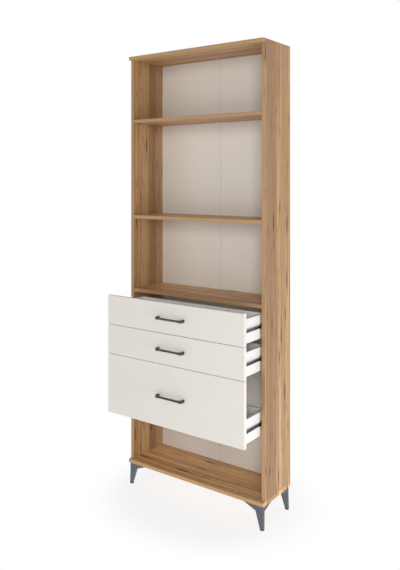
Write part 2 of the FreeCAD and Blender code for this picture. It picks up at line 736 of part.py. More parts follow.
def shelves():
    """Two shelves on pins and the fixed shelf over the drawers."""
    depth = "Sizes.side_depth - Sizes.joint_wall - Sizes.groove_play / 2 - Sizes.shelf_gap"
    half = f"({INNER_HALF} - Sizes.shelf_play)"
    for label, top in PIN_SHELVES.items():
        board(label, (f"-{half}", SIDE_EDGE, f"{top} - Sizes.board"), (f"2 * {half}", depth, "Sizes.board"),
              ease=True)
    cuts = []
    for sign in (-1, 1):
        for y in CAM_ROWS:
            cam_axis = signed(sign, f"({INNER_HALF} - Sizes.cam_setback)")
            cuts.append(drilled((cam_axis, y, DRAWER_SHELF_BASE), UP, "cam", "Sizes.cam_height"))
            end = (signed(sign, INNER_HALF), y, SHELF_BOLT_HEIGHT)
            cuts.append(drilled(end, INWARD[sign], "bolt", "Sizes.cam_setback"))
    size = (f"2 * {INNER_HALF}", depth, "Sizes.board")
    board("drawer_shelf", (f"-{INNER_HALF}", SIDE_EDGE, DRAWER_SHELF_BASE), size, cuts, ease=True)


def back():
    """Two thin panels nailed on from behind, with a joining strip between them."""
    edge = "(Sizes.width / 2 - Sizes.back_inset)"
    seam = "(Sizes.joint_wall / 2 + Sizes.groove_play)"
    low = "(Sizes.leg_height + Sizes.back_inset)"
    high = f"({TOP} - Sizes.back_inset)"
    for sign in (-1, 1):
        cuts = []
        points = [(SIDE_MIDDLE, z) for z in NAIL_HEIGHTS]
        points += [(x, z) for x in NAIL_COLUMNS for z in (TOP_NAIL_HEIGHT, BOTTOM_NAIL_HEIGHT)]
        for x, z in points:
            point = (signed(sign, x), REAR_EDGE, z)
            cuts.append(drilled(point, BACKWARD, "nail", "Sizes.back_thickness"))
        corner = (signed(sign, edge if sign < 0 else seam), REAR_EDGE, low)
        size = (f"{edge} - {seam}", "Sizes.back_thickness", f"{high} - {low}")
        board(f"back_panel_{SIDE_NAMES[sign]}", corner, size, cuts)
    joint_strip()


def joint_strip():
    """H section that grips the meeting edges of the two back panels."""
    body = new_body("joint_strip")
    section = new_sketch(body, "joint_section", "XY_Plane")
    face = "(Sizes.joint_face / 2)"
    web = "(Sizes.joint_wall / 2)"
    inner = "(Sizes.back_thickness / 2 + Sizes.groove_play / 2)"
    outer = f"({inner} + Sizes.joint_wall)"
    right = ((web, inner), (face, inner), (face, outer))
    corners = [(x, f"-{y}") for x, y in reversed(right)]
    corners += right
    mirrored = [(f"-{x}", y) for x, y in reversed(corners)]
    outline(section, corners + mirrored)
    pad(body, "joint_pad", section, f"{SIDE_HEAD} - {SIDE_FOOT} - 2 * Sizes.end_play")
    place(body, ("0", f"{REAR_EDGE} + Sizes.back_thickness / 2", f"{SIDE_FOOT} + Sizes.end_play"))
    as_node(body, "back_joint_strip")


# Legs

def arms_outline(sketch, lean, width, depth):
    """L with round free edges, behind the faces of the post. The lean is how far it is moved out."""
    outer = f"(Sizes.leg_step - {lean})"
    inner = f"(Sizes.leg_wall - {lean})"
    free_edge = f"({LEG_EDGE_ROUND} * Sizes.leg_wall)"
    outline(sketch, (
        (outer, outer),
        (width, outer),
        (width, inner, free_edge, 1),
        (inner, inner),
        (inner, depth),
        (outer, depth, free_edge, 1),
    ))


def post_outline(sketch, lean, width, depth):
    """Rectangle with a round outer corner. The lean is how far that corner is moved out."""
    outer = f"(-{lean})"
    bend = f"(Sizes.leg_corner - {lean})"
    side = f"({width} - {lean})"
    rear = f"({depth} - {lean})"
    outline(sketch, (
        (bend, outer, "Sizes.leg_corner", 1),
        (side, outer),
        (side, rear),
        (outer, rear),
        (outer, bend),
    ))


def socket_outline(sketch, width):
    """Square about the middle of a foot."""
    middle = "(Sizes.leg_foot / 2 - Sizes.leg_splay)"
    low = f"({middle} - {width} / 2)"
    high = f"({middle} + {width} / 2)"
    outline(sketch, ((low, low), (high, low), (high, high), (low, high)))


def leg_loft(body, name, stations, draw):
    """Straight-sided loft through sections of a leg, splayed out with their depth below the board."""
    sections = []
    for station, drop, sizes in stations:
        sketch = new_sketch(body, f"{name}_{station}", "XY_Plane", f"-{drop}")
        draw(sketch, f"(Sizes.leg_splay * {drop} / {LEG_LENGTH})", *sizes)
        sections.append(sketch)
    loft = add_feature(body, "AdditiveLoft", name, sections[0])
    loft.Sections = sections[1:]
    loft.Ruled = True


def leg_body(label, across, along, angle):
    """Corner leg: a post that narrows to its foot, two arms that narrow to its knee, and a screw plate."""
    body = new_body(f"{label}_body")
    knee = ["Sizes.leg_knee_width", "Sizes.leg_knee_depth"]
    # A leg on a quarter turn has its width along its own Y
    if angle % 180:
        knee.reverse()
    foot = ["Sizes.leg_foot", "Sizes.leg_foot"]
    reach = ["Sizes.leg_arm", "Sizes.leg_arm"]
    within = [f"({size} - Sizes.leg_wall / 2)" for size in knee]
    post = (("head", "0", knee), ("knee", "Sizes.leg_knee_drop", knee), ("foot", LEG_LENGTH, foot))
    arms = (("head", "0", reach), ("brim", "Sizes.leg_flange", reach), ("knee", "Sizes.leg_knee_drop", within))
    leg_loft(body, f"{label}_post", post, post_outline)
    leg_loft(body, f"{label}_arms", arms, arms_outline)
    plate = new_sketch(body, f"{label}_plate", "XY_Plane")
    inside = "(Sizes.leg_wall / 2)"
    outline(plate, ((inside, inside), ("Sizes.leg_arm", inside), (inside, "Sizes.leg_arm")))
    pad(body, f"{label}_flange", plate, "Sizes.leg_flange", reverse=True)
    holes = new_sketch(body, f"{label}_holes", "XY_Plane")
    circles(holes, LEG_SCREWS, "(Sizes.leg_screw_radius + Sizes.fit_play)")
    pocket_blind(body, f"{label}_drilled", holes, "2 * Sizes.leg_flange")
    socket = new_sketch(body, f"{label}_socket", "XY_Plane", f"-{LEG_LENGTH}")
    socket_outline(socket, "(Sizes.glide_lug + 2 * Sizes.groove_play)")
    depth = "Sizes.glide_lug_height + Sizes.end_play"
    pocket_blind(body, f"{label}_socketed", socket, depth, reverse=True)
    place(body, leg_corner(across, along), FreeCAD.Rotation(FreeCAD.Vector(0, 0, 1), angle))
    as_node(body, label)


def glide_pattern():
    """Plastic glide under a foot, with a lug in the leg's socket."""
    body = new_body("glide")
    sole = new_sketch(body, "glide_sole", "XY_Plane", f"-{LEG_LENGTH}")
    post_outline(sole, "Sizes.leg_splay", "Sizes.leg_foot", "Sizes.leg_foot")
    pad(body, "glide_pad", sole, "Sizes.glide_height", reverse=True)
    lug = new_sketch(body, "glide_lug", "XY_Plane", f"-{LEG_LENGTH}")
    socket_outline(lug, "Sizes.glide_lug")
    pad(body, "glide_lug_pad", lug, "Sizes.glide_lug_height")
    return body


def legs():
    """Four corner legs with their glides and screws."""
    seats = []
    for label, (across, along, angle) in LEG_CORNERS.items():
        leg_body(label, across, along, angle)
        rotation = FreeCAD.Rotation(FreeCAD.Vector(0, 0, 1), angle)
        seats.append((leg_corner(across, along), rotation))
    glide = glide_pattern()
    screw = pan_head_screw("leg_screw")
    doc.recompute()
    group("foot_glides", [(glide, seats)])
    driven = [((x, y, f"{z} - Sizes.leg_flange"), turn_to(UP)) for x, y, z in leg_screw_points()]
    group("leg_screws", [(screw, driven)])


# Ball slides. Their sections run from the carcass, at x = 0, towards the box.

def rail_body(name, corners, length):
    """Rail of one section, centred on its length."""
    body = new_body(name)
    section = new_sketch(body, f"{name}_section", "XZ_Plane")
    mirrored = [(x, f"-({z})") for x, z in reversed(corners)]
    outline(section, list(corners) + mirrored)
    pad(body, f"{name}_pad", section, length, side="Symmetric")
    return body


def outer_rail():
    """Fixed rail: a channel with lips over the balls."""
    lip = f"({RAIL_EDGE} - Sizes.rail_lip_wall)"
    top = f"({OUTER_RAIL_HEIGHT} / 2)"
    race = f"({top} - Sizes.rail_wall)"
    body = rail_body("outer_rail", (
        ("Sizes.rail_wall", race),
        (lip, race),
        (lip, f"{race} - Sizes.rail_lip"),
        (RAIL_EDGE, f"{race} - Sizes.rail_lip"),
        (RAIL_EDGE, top),
        ("0", top),
    ), SLIDE_LENGTH)
    holes = new_sketch(body, "outer_rail_holes", "YZ_Plane")
    centres = [(RAIL_HOLE_OFFSETS[step], "0") for step in RAIL_SCREW_HOLES]
    circles(holes, centres, "(Sizes.rail_screw_radius + Sizes.fit_play)")
    pocket_through(body, "outer_rail_drilled", holes)
    return body


def inner_rail():
    """Moving rail: a narrower channel, its web on the box, with open holes along its middle."""
    lip = f"({RAIL_TIP} + Sizes.rail_lip_wall)"
    race = "(Sizes.inner_rail_height / 2)"
    body = rail_body("inner_rail", (
        (SLIDE_THICKNESS, race),
        (lip, race),
        (lip, f"{race} + Sizes.rail_lip"),
        (RAIL_TIP, f"{race} + Sizes.rail_lip"),
        (RAIL_TIP, f"{race} - Sizes.rail_wall"),
        (f"{SLIDE_THICKNESS} - Sizes.rail_wall", f"{race} - Sizes.rail_wall"),
    ), SLIDE_LENGTH)
    for name, steps, radius in (
        ("screw", RAIL_SCREW_HOLES, "(Sizes.rail_screw_radius + Sizes.fit_play)"),
        ("open", sorted(set(range(RAIL_HOLE_COUNT)) - set(RAIL_SCREW_HOLES)), "Sizes.rail_slot_radius"),
    ):
        holes = new_sketch(body, f"inner_rail_{name}_holes", "YZ_Plane")
        circles(holes, [(RAIL_HOLE_OFFSETS[step], "0") for step in steps], radius)
        pocket_through(body, f"inner_rail_{name}_drilled", holes)
    return body


BALL_COUNT = 1 + int(number(f"({CAGE_LENGTH} - 2 * Sizes.ball_end) / Sizes.ball_pitch"))
BALL_OFFSETS = [f"(Sizes.ball_pitch * {2 * step - BALL_COUNT + 1} / 2)" for step in range(BALL_COUNT)]


def ball_cage():
    """Cage that spaces the balls in both races."""
    half = "(Sizes.cage_wall / 2)"
    body = rail_body("ball_cage", (
        (f"{CAGE_LINE} + Sizes.cage_wall", f"{RACE_LINE} - {half}"),
        (RAIL_EDGE, f"{RACE_LINE} - {half}"),
        (RAIL_EDGE, f"{RACE_LINE} + {half}"),
        (CAGE_LINE, f"{RACE_LINE} + {half}"),
    ), CAGE_LENGTH)
    holes = new_sketch(body, "ball_cage_holes", "XY_Plane")
    circles(holes, [(BALL_LINE, y) for y in BALL_OFFSETS], "(Sizes.ball_radius + Sizes.cage_hole_play)")
    pocket_through(body, "ball_cage_drilled", holes)
    return body


def bearing_ball():
    """One ball of the slides."""
    ball = doc.addObject("Part::Sphere", "bearing_ball")
    ball.setExpression("Radius", "Sizes.ball_radius")
    return ball


def side_turn(sign):
    """Rotation that turns a slide's section to the left or right side."""
    return FreeCAD.Rotation(FreeCAD.Vector(0, 0, 1), 0 if sign < 0 else 180)


def cabinet_rails(rail):
    """The fixed rails of all drawers, on each side of the carcass."""
    for sign in (-1, 1):
        seats = [
            ((signed(sign, INNER_HALF), SLIDE_MIDDLE, slide_height(base)), side_turn(sign))
            for base in DRAWER_BASES
        ]
        group(f"{SIDE_NAMES[sign]}_cabinet_rails", [(rail, seats)])


def cabinet_rail_screws(screw):
    """Screws of the fixed rails, their heads on the rails' webs."""
    seats = []
    for sign in (-1, 1):
        web = signed(sign, f"({INNER_HALF} - Sizes.rail_wall)")
        for base in DRAWER_BASES:
            for step in RAIL_SCREW_HOLES:
                y = f"({SLIDE_MIDDLE} + {RAIL_HOLE_OFFSETS[step]})"
                seats.append(((web, y, slide_height(base)), turn_to(OUTWARD[sign])))
    group("cabinet_rail_screws", [(screw, seats)])


# Drawers

def handle_pattern():
    """Bow handle: a flat bar between two taller feet, seen from the front face at y = 0."""
    body = new_body("handle")
    bow = new_sketch(body, "handle_bow", "XY_Plane")
    outer = "-Sizes.handle_projection"
    inner = f"({outer} + Sizes.handle_bar_depth)"
    foot = f"({HANDLE_HALF} - Sizes.handle_foot)"
    bend = "Sizes.handle_bend"
    hollow = "Sizes.handle_inner_bend"
    outline(bow, (
        (f"-{HANDLE_HALF}", "0"),
        (f"-{HANDLE_HALF}", f"{outer} + {bend}"),
        (f"{bend} - {HANDLE_HALF}", outer, bend, 1),
        (f"{HANDLE_HALF} - {bend}", outer),
        (HANDLE_HALF, f"{outer} + {bend}", bend, 1),
        (HANDLE_HALF, "0"),
        (foot, "0"),
        (foot, f"{inner} + {hollow}"),
        (f"{foot} - {hollow}", inner, hollow, -1),
        (f"{hollow} - {foot}", inner),
        (f"-{foot}", f"{inner} + {hollow}", hollow, -1),
        (f"-{foot}", "0"),
    ))
    pad(body, "handle_pad", bow, "Sizes.handle_foot_height", side="Symmetric")
    waist = new_sketch(body, "handle_waist", "XZ_Plane")
    wide = f"({foot} - {hollow})"
    narrow = f"({wide} - Sizes.handle_flare)"
    high = "(Sizes.handle_foot_height / 2)"
    low = "(Sizes.handle_bar_height / 2)"
    past = "Sizes.handle_foot_height"
    for sign in ("", "-"):
        outline(waist, (
            (f"-{wide}", f"{sign}{high}"),
            (f"-{narrow}", f"{sign}{low}"),
            (narrow, f"{sign}{low}"),
            (wide, f"{sign}{high}"),
            (wide, f"{sign}{past}"),
            (f"-{wide}", f"{sign}{past}"),
        ))
    pocket_through(body, "handle_waist_cut", waist)
    doc.recompute()
    sharp = body.Tip
    rounding = body.newObject("PartDesign::Fillet", "handle_rounded")
    rounding.Base = (sharp, rim_edges(sharp.Shape))
    rounding.setExpression("Radius", "Sizes.handle_edge")
    body.Tip = rounding
    holes = new_sketch(body, "handle_holes", "XZ_Plane")
    centres = [(signed(sign, "Sizes.handle_spacing / 2"), "0") for sign in (-1, 1)]
    circles(holes, centres, "(Sizes.handle_screw_radius + Sizes.fit_play)")
    pocket_blind(body, "handle_drilled", holes, "Sizes.handle_screw_in + Sizes.end_play", reverse=True)
    return body


def is_upright(face):
    """Whether a face stands square to the handle's upper and lower sides."""
    middle = [sum(ends) / 2 for ends in (face.ParameterRange[:2], face.ParameterRange[2:])]
    return abs(face.normalAt(*middle).z) < UPRIGHT_LIMIT


def rim_edges(shape):
    """Names of the edges along a handle's upper and lower rims, without those on the front face."""
    names = []
    for index, edge in enumerate(shape.Edges, start=1):
        upright = [is_upright(face) for face in shape.ancestorsOfType(edge, Part.Face)]
        if sorted(upright) == [False, True] and edge.BoundBox.YMin < -number("Sizes.handle_edge"):
            names.append(f"Edge{index}")
    return names


def drawer(name, base, front_height, patterns):
    """One drawer: front, box, handle, moving rails and ball cages."""
    top = f"({base} + Sizes.box_height)"
    cam_heights = [f"({base} + Sizes.box_cam_inset)", f"({top} - Sizes.box_cam_inset)"]
    screw_heights = [f"({base} + Sizes.rear_screw_inset)", f"({top} - Sizes.rear_screw_inset)"]
    groove_low = f"({base} + Sizes.bottom_rise)"
    groove_height = "Sizes.bottom_thickness + 2 * Sizes.groove_play"
    inside = f"({BOX_HALF} - Sizes.box_board)"
    side_middle = f"({BOX_HALF} - Sizes.box_board / 2)"
    rear_middle = f"({BOX_REAR} - Sizes.box_board / 2)"
    rail_middle = f"({SLIDE_MIDDLE} - {TRAVEL})"
    rail_screw_rows = [f"({rail_middle} + {RAIL_HOLE_OFFSETS[step]})" for step in RAIL_SCREW_HOLES]

    for sign in (-1, 1):
        inner_face = signed(sign, inside)
        outer_face = signed(sign, BOX_HALF)
        cuts = [Groove(
            (inner_face if sign > 0 else f"{inner_face} - Sizes.groove_depth", BOX_FRONT, groove_low),
            ("Sizes.groove_depth", BOX_LENGTH, groove_height),
        )]
        for z in cam_heights:
            cam_point = (inner_face, f"({BOX_FRONT} + Sizes.cam_setback)", z)
            cuts.append(drilled(cam_point, OUTWARD[sign], "cam", "Sizes.cam_height"))
            bolt_point = (signed(sign, side_middle), BOX_FRONT, z)
            cuts.append(drilled(bolt_point, BACKWARD, "bolt", "Sizes.cam_setback"))
        for z in screw_heights:
            cuts.append(drilled((outer_face, rear_middle, z), INWARD[sign], "rear_screw", "Sizes.box_board"))
            cuts.append(sunk((outer_face, rear_middle, z), INWARD[sign], "rear_screw"))
        for y in rail_screw_rows:
            point = (outer_face, y, slide_height(base))
            cuts.append(drilled(point, INWARD[sign], "rail_screw", "Sizes.rail_screw_length"))
        corner = (signed(sign, BOX_HALF if sign < 0 else inside), BOX_FRONT, base)
        size = ("Sizes.box_board", BOX_LENGTH, "Sizes.box_height")
        board(f"{name}_{SIDE_NAMES[sign]}_side", corner, size, cuts)

    cuts = [Groove(
        (f"-{inside}", f"{BOX_REAR} - Sizes.box_board", groove_low),
        (f"2 * {inside}", "Sizes.groove_depth", groove_height),
    )]
    for sign in (-1, 1):
        for z in screw_heights:
            depth = "Sizes.rear_screw_length - Sizes.box_board + Sizes.end_play"
            cuts.append(drilled((signed(sign, inside), rear_middle, z), INWARD[sign], "rear_screw", depth))
    board(
        f"{name}_rear",
        (f"-{inside}", f"{BOX_REAR} - Sizes.box_board", base),
        (f"2 * {inside}", "Sizes.box_board", "Sizes.box_height"),
        cuts,
    )

    tongue = "(Sizes.groove_depth - Sizes.groove_play)"
    bottom_length = f"{BOX_LENGTH} - Sizes.box_board + 2 * {tongue}"
    board(
        f"{name}_bottom",
        (f"-({inside} + {tongue})", f"{BOX_FRONT} - {tongue}", f"{groove_low} + Sizes.groove_play"),
        (f"2 * ({inside} + {tongue})", bottom_length, "Sizes.bottom_thickness"),
    )

    front_half = "(Sizes.width / 2 - Sizes.front_margin)"
    front_face = f"({BOX_FRONT} - Sizes.front_thickness)"
    handle_height = f"({base} + {front_height} / 2)"
    cuts = [Groove(
        (f"-({inside} + Sizes.groove_depth)", f"{BOX_FRONT} - Sizes.groove_depth", groove_low),
        (f"2 * ({inside} + Sizes.groove_depth)", "Sizes.groove_depth", groove_height),
    )]
    for sign in (-1, 1):
        for z in cam_heights:
            point = (signed(sign, side_middle), BOX_FRONT, z)
            cuts.append(drilled(point, FORWARD, "bolt", "Sizes.bolt_in + Sizes.end_play"))
        point = (signed(sign, "Sizes.handle_spacing / 2"), BOX_FRONT, handle_height)
        cuts.append(drilled(point, FORWARD, "handle_screw", "Sizes.front_thickness"))
    size = (f"2 * {front_half}", "Sizes.front_thickness", front_height)
    board(f"{name}_front", (f"-{front_half}", front_face, base), size, cuts, ease=True)

    upright = FreeCAD.Rotation()
    group(f"{name}_handle", [(patterns["handle"], [(("0", front_face, handle_height), upright)])])
    seats = [
        ((signed(sign, "Sizes.handle_spacing / 2"), BOX_FRONT, handle_height), turn_to(FORWARD))
        for sign in (-1, 1)
    ]
    group(f"{name}_handle_screws", [(patterns["handle_screw"], seats)])

    seats = [
        ((signed(sign, INNER_HALF), rail_middle, slide_height(base)), side_turn(sign)) for sign in (-1, 1)
    ]
    group(f"{name}_rails", [(patterns["inner_rail"], seats)])
    seats = [
        ((signed(sign, f"({BOX_HALF} + Sizes.rail_wall)"), y, slide_height(base)), turn_to(INWARD[sign]))
        for sign in (-1, 1) for y in rail_screw_rows
    ]
    group(f"{name}_rail_screws", [(patterns["rail_screw"], seats)])
    seats = [
        ((signed(sign, BOX_HALF), rear_middle, z), turn_to(INWARD[sign]))
        for sign in (-1, 1) for z in screw_heights
    ]
    group(f"{name}_rear_screws", [(patterns["rear_screw"], seats)])

    cams, bolts = [], []
    for sign in (-1, 1):
        face_in = FreeCAD.Rotation(
            FreeCAD.Vector(*BACKWARD), FreeCAD.Vector(), FreeCAD.Vector(*INWARD[sign]), "XZY"
        )
        for z in cam_heights:
            cams.append(((signed(sign, inside), f"{BOX_FRONT} + Sizes.cam_setback", z), face_in))
            bolts.append(((signed(sign, side_middle), BOX_FRONT, z), turn_to(BACKWARD)))
    group(f"{name}_cam_fittings", [(patterns["cam"], cams), (patterns["cam_bolt"], bolts)])

    cages, balls = [], []
    for sign in (-1, 1):
        cages.append(((signed(sign, INNER_HALF), CAGE_MIDDLE, slide_height(base)), side_turn(sign)))
        for y in BALL_OFFSETS:
            for race in (f"+ {RACE_LINE}", f"- {RACE_LINE}"):
                x = signed(sign, f"({INNER_HALF} - {BALL_LINE})")
                balls.append(((x, f"{CAGE_MIDDLE} + {y}", f"{slide_height(base)} {race}"), upright))
    group(f"{name}_ball_cages", [(patterns["ball_cage"], cages), (patterns["ball"], balls)])


# Fasteners of the carcass

def carcass_fasteners(patterns):
    """Screws, dowels, pins, cam fittings and nails of the carcass."""
    screws, dowels, pins, cams, bolts, nails = [], [], [], [], [], []
    for sign in (-1, 1):
        middle = signed(sign, SIDE_MIDDLE)
        for y in SCREW_ROWS:
            screws.append(((middle, y, TOP), turn_to(DOWN)))
            screws.append(((middle, y, "Sizes.leg_height"), turn_to(UP)))
        for y in DOWEL_ROWS:
            dowels.append(((middle, y, f"{SIDE_HEAD} + Sizes.dowel_in_face"), turn_to(DOWN)))
            dowels.append(((middle, y, f"{SIDE_FOOT} - Sizes.dowel_in_face"), turn_to(UP)))
        for y in PIN_ROWS:
            for shelf in PIN_SHELVES:
                pins.append(((signed(sign, INNER_HALF), y, pin_height(shelf)), turn_to(OUTWARD[sign])))
        face_down = FreeCAD.Rotation(
            FreeCAD.Vector(*INWARD[sign]), FreeCAD.Vector(), FreeCAD.Vector(*DOWN), "XZY"
        )
        for y in CAM_ROWS:
            cam_axis = signed(sign, f"({INNER_HALF} - Sizes.cam_setback)")
            cams.append(((cam_axis, y, DRAWER_SHELF_BASE), face_down))
            bolts.append(((signed(sign, INNER_HALF), y, SHELF_BOLT_HEIGHT), turn_to(INWARD[sign])))
        back_face = f"{REAR_EDGE} + Sizes.back_thickness"
        nails += [((middle, back_face, z), turn_to(FORWARD)) for z in NAIL_HEIGHTS]
        for x in NAIL_COLUMNS:
            for z in (TOP_NAIL_HEIGHT, BOTTOM_NAIL_HEIGHT):
                nails.append(((signed(sign, x), back_face, z), turn_to(FORWARD)))
    group("carcass_screws", [(patterns["carcass_screw"], screws)])
    group("carcass_dowels", [(patterns["dowel"], dowels)])
    group("shelf_pins", [(patterns["shelf_pin"], pins)])
    group("shelf_cam_fittings", [(patterns["cam"], cams), (patterns["cam_bolt"], bolts)])
    group("back_nails", [(patterns["nail"], nails)])


def build():
    """All pieces of the bookcase."""
    for sign in (-1, 1):
        side_panel(sign)
    end_board("top_board", SIDE_HEAD, TOP, SIDE_HEAD, DOWN, TOP_NAIL_HEIGHT)
    leg_holes = [drilled(point, UP, "leg_screw", "Sizes.leg_screw_length") for point in leg_screw_points()]
    end_board(
        "bottom_board", "Sizes.leg_height", "Sizes.leg_height", SIDE_FOOT, UP, BOTTOM_NAIL_HEIGHT, leg_holes
    )
    shelves()
    back()
    legs()
    patterns = {
        "carcass_screw": flat_head_screw("carcass_screw"),
        "rear_screw": flat_head_screw("rear_screw"),
        "rail_screw": pan_head_screw("rail_screw"),
        "handle_screw": handle_screw_pattern(),
        "dowel": dowel_pattern(),
        "shelf_pin": shelf_pin_pattern(),
        "nail": nail_pattern(),
        "cam": cam_pattern(),
        "cam_bolt": cam_bolt_pattern(),
        "outer_rail": outer_rail(),
        "inner_rail": inner_rail(),
        "ball_cage": ball_cage(),
        "ball": bearing_ball(),
        "handle": handle_pattern(),
    }
    doc.recompute()
    carcass_fasteners(patterns)
    cabinet_rails(patterns["outer_rail"])
    cabinet_rail_screws(patterns["rail_screw"])
    drawer("upper_drawer", UPPER_BASE, SMALL_FRONT, patterns)
    drawer("middle_drawer", MIDDLE_BASE, SMALL_FRONT, patterns)
    drawer("lower_drawer", LOWER_BASE, LARGE_FRONT, patterns)
    doc.recompute()


def check_and_export():
    """Stop on any failed object, then write one file for each node."""
    for item in doc.Objects:
        if "Invalid" in item.State or "Error" in item.State:
            raise RuntimeError(f"{item.Label} failed: {item.State}")
    for node in nodes:
        if node.Shape.isNull() or not node.Shape.isValid():
            raise RuntimeError(f"{node.Label} has no valid shape")
    os.makedirs("parts", exist_ok=True)
    for node in nodes:
        node.Shape.exportStep(f"parts/{node.Label}.step")
    print(f"{len(nodes)} nodes written")


build()
check_and_export()
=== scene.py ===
"""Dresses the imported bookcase: its finishes, its screws and nails, and a plain studio with the camera.

All lengths in the classes are millimetres unless a name or comment says otherwise; Blender's own are metres.
"""

import logging
import math
from dataclasses import dataclass, field
from enum import Enum
from typing import Any, Optional

import bmesh
import bpy
from bpy.types import Material, Node, NodeOutputs, NodeSocket, NodeTree
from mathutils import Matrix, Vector


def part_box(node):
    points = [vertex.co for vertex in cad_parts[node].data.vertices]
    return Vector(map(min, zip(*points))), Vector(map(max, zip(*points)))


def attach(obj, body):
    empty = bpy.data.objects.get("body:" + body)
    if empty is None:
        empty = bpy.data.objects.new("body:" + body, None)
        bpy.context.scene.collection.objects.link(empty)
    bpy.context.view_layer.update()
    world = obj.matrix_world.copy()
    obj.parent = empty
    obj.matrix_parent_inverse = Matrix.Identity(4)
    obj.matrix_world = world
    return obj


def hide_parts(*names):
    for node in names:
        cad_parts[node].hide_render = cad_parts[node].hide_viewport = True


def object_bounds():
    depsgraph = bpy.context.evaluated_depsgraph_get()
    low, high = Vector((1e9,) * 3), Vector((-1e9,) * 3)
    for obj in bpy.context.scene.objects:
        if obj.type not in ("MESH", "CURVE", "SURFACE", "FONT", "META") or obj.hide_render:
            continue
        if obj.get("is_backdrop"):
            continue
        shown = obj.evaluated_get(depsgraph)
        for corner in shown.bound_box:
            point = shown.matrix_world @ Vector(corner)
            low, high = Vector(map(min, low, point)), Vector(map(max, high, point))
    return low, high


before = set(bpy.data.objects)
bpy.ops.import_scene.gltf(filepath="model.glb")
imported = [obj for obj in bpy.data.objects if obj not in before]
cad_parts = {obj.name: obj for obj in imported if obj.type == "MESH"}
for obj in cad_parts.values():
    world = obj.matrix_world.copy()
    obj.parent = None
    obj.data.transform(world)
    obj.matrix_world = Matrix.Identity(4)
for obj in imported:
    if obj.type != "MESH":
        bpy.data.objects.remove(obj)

LOG = logging.getLogger("bookcase")
MM = 0.001
# Refraction of melamine, lacquer and plastics, which sets how strongly they shine
RESIN_IOR = 1.5
# A face's normal has this much of an axis where the face begins to count as turned to it
TURNED = 0.5
# A face's normal has this much of an axis where the face fully counts as turned to it
TURNED_FULL = 0.9
# How far apart, in metres, two stretches of the oak print lie whose seeds differ by 1
PRINT_STEP = (0.37, 1.91, 0.73)
# A Mix or Random Value node has inputs of its own for numbers, vectors and colours
NUMBER_A, NUMBER_B = 2, 3
VECTOR_A, VECTOR_B = 4, 5
COLOUR_A, COLOUR_B = 6, 7
# Lets a Map Range node ease in and out
SMOOTH = {"interpolation_type": "SMOOTHSTEP"}


class Axis(Enum):
    """A direction in the shared frame."""

    X = "X"
    Y = "Y"
    Z = "Z"


class Head(Enum):
    """How a fastener's head is formed."""

    PAN = "pan"
    FLAT = "flat"
    NAIL = "nail"


def linear(colour: str) -> tuple[float, float, float, float]:
    """Turns a written colour into Blender's linear values.

    Args:
        colour: An sRGB hex value such as "#c0a080".

    Returns:
        Linear red, green and blue, and an alpha of 1.
    """
    parts = [int(colour[i:i + 2], 16) / 255 for i in (1, 3, 5)]
    red, green, blue = (c / 12.92 if c <= 0.04045 else ((c + 0.055) / 1.055) ** 2.4 for c in parts)
    return (red, green, blue, 1.0)


def per(size: float) -> float:
    """Gives the pattern scale, in repeats per metre, of a real size in millimetres."""
    return 1 / (size * MM)


def feed(tree: NodeTree, socket: NodeSocket, source: Any) -> None:
    """Gives an input its value or its link.

    Args:
        tree: The node tree.
        socket: The input.
        source: A value, a socket, or a node, which stands for its first output in use.
    """
    if isinstance(source, Node):
        source = next(s for s in source.outputs if s.enabled)
    if isinstance(source, NodeSocket):
        tree.links.new(source, socket)
    else:
        socket.default_value = source


def add(
    tree: NodeTree,
    kind: str,
    inputs: Optional[dict[Any, Any]] = None,
    stops: Optional[list[tuple[float, str]]] = None,
    **settings: Any,
) -> Node:
    """Adds a node with its settings, values and links.

    Args:
        tree: The node tree that gets the node.
        kind: Blender's name of the node's type.
        inputs: A value, a socket or a node for each input, by the input's name or number. A list links every
            socket or node in it to that input.
        stops: The places and colours of a colour ramp.
        settings: The node's own properties.

    Returns:
        The new node.
    """
    node = tree.nodes.new(kind)
    for name, value in settings.items():
        setattr(node, name, value)
    for key, value in (inputs or {}).items():
        for source in value if isinstance(value, list) else [value]:
            feed(tree, node.inputs[key], source)
    if stops:
        ramp = node.color_ramp
        while len(ramp.elements) < len(stops):
            ramp.elements.new(1.0)
        for element, (place, colour) in zip(ramp.elements, stops):
            element.position = place
            element.color = linear(colour)
    return node


def emptied(holder: Any) -> NodeTree:
    """Clears the nodes of a material or a world.

    Args:
        holder: The material or world.

    Returns:
        Its node tree, with nothing in it.
    """
    holder.use_nodes = True
    holder.node_tree.nodes.clear()
    return holder.node_tree


def put(name: str, data: bpy.types.ID) -> bpy.types.Object:
    """Puts a mesh, a light or a camera into the scene.

    Args:
        name: The object's name.
        data: What the object shows or does.

    Returns:
        The new object, at the origin.
    """
    made = bpy.data.objects.new(name, data)
    bpy.context.scene.collection.objects.link(made)
    return made


def eased(value: Any, start: float, end: float, top: float = 1.0) -> dict[str, Any]:
    """Gives the inputs of a Map Range node that rises from 0 to a top between two values.

    Args:
        value: The socket or node to read.
        start: Where the result is 0.
        end: Where the result is the top. It may lie below the start.
        top: The highest result.

    Returns:
        The inputs, by name.
    """
    if start < end:
        return {"Value": value, "From Min": start, "From Max": end, "To Min": 0.0, "To Max": top}
    return {"Value": value, "From Min": end, "From Max": start, "To Min": top, "To Max": 0.0}


@dataclass(frozen=True)
class Coat:
    """One colour laid over those below it, growing where a pattern goes from a start to an end."""

    shade: str
    pattern: Any
    share: float
    start: float = 0.0
    end: float = 1.0


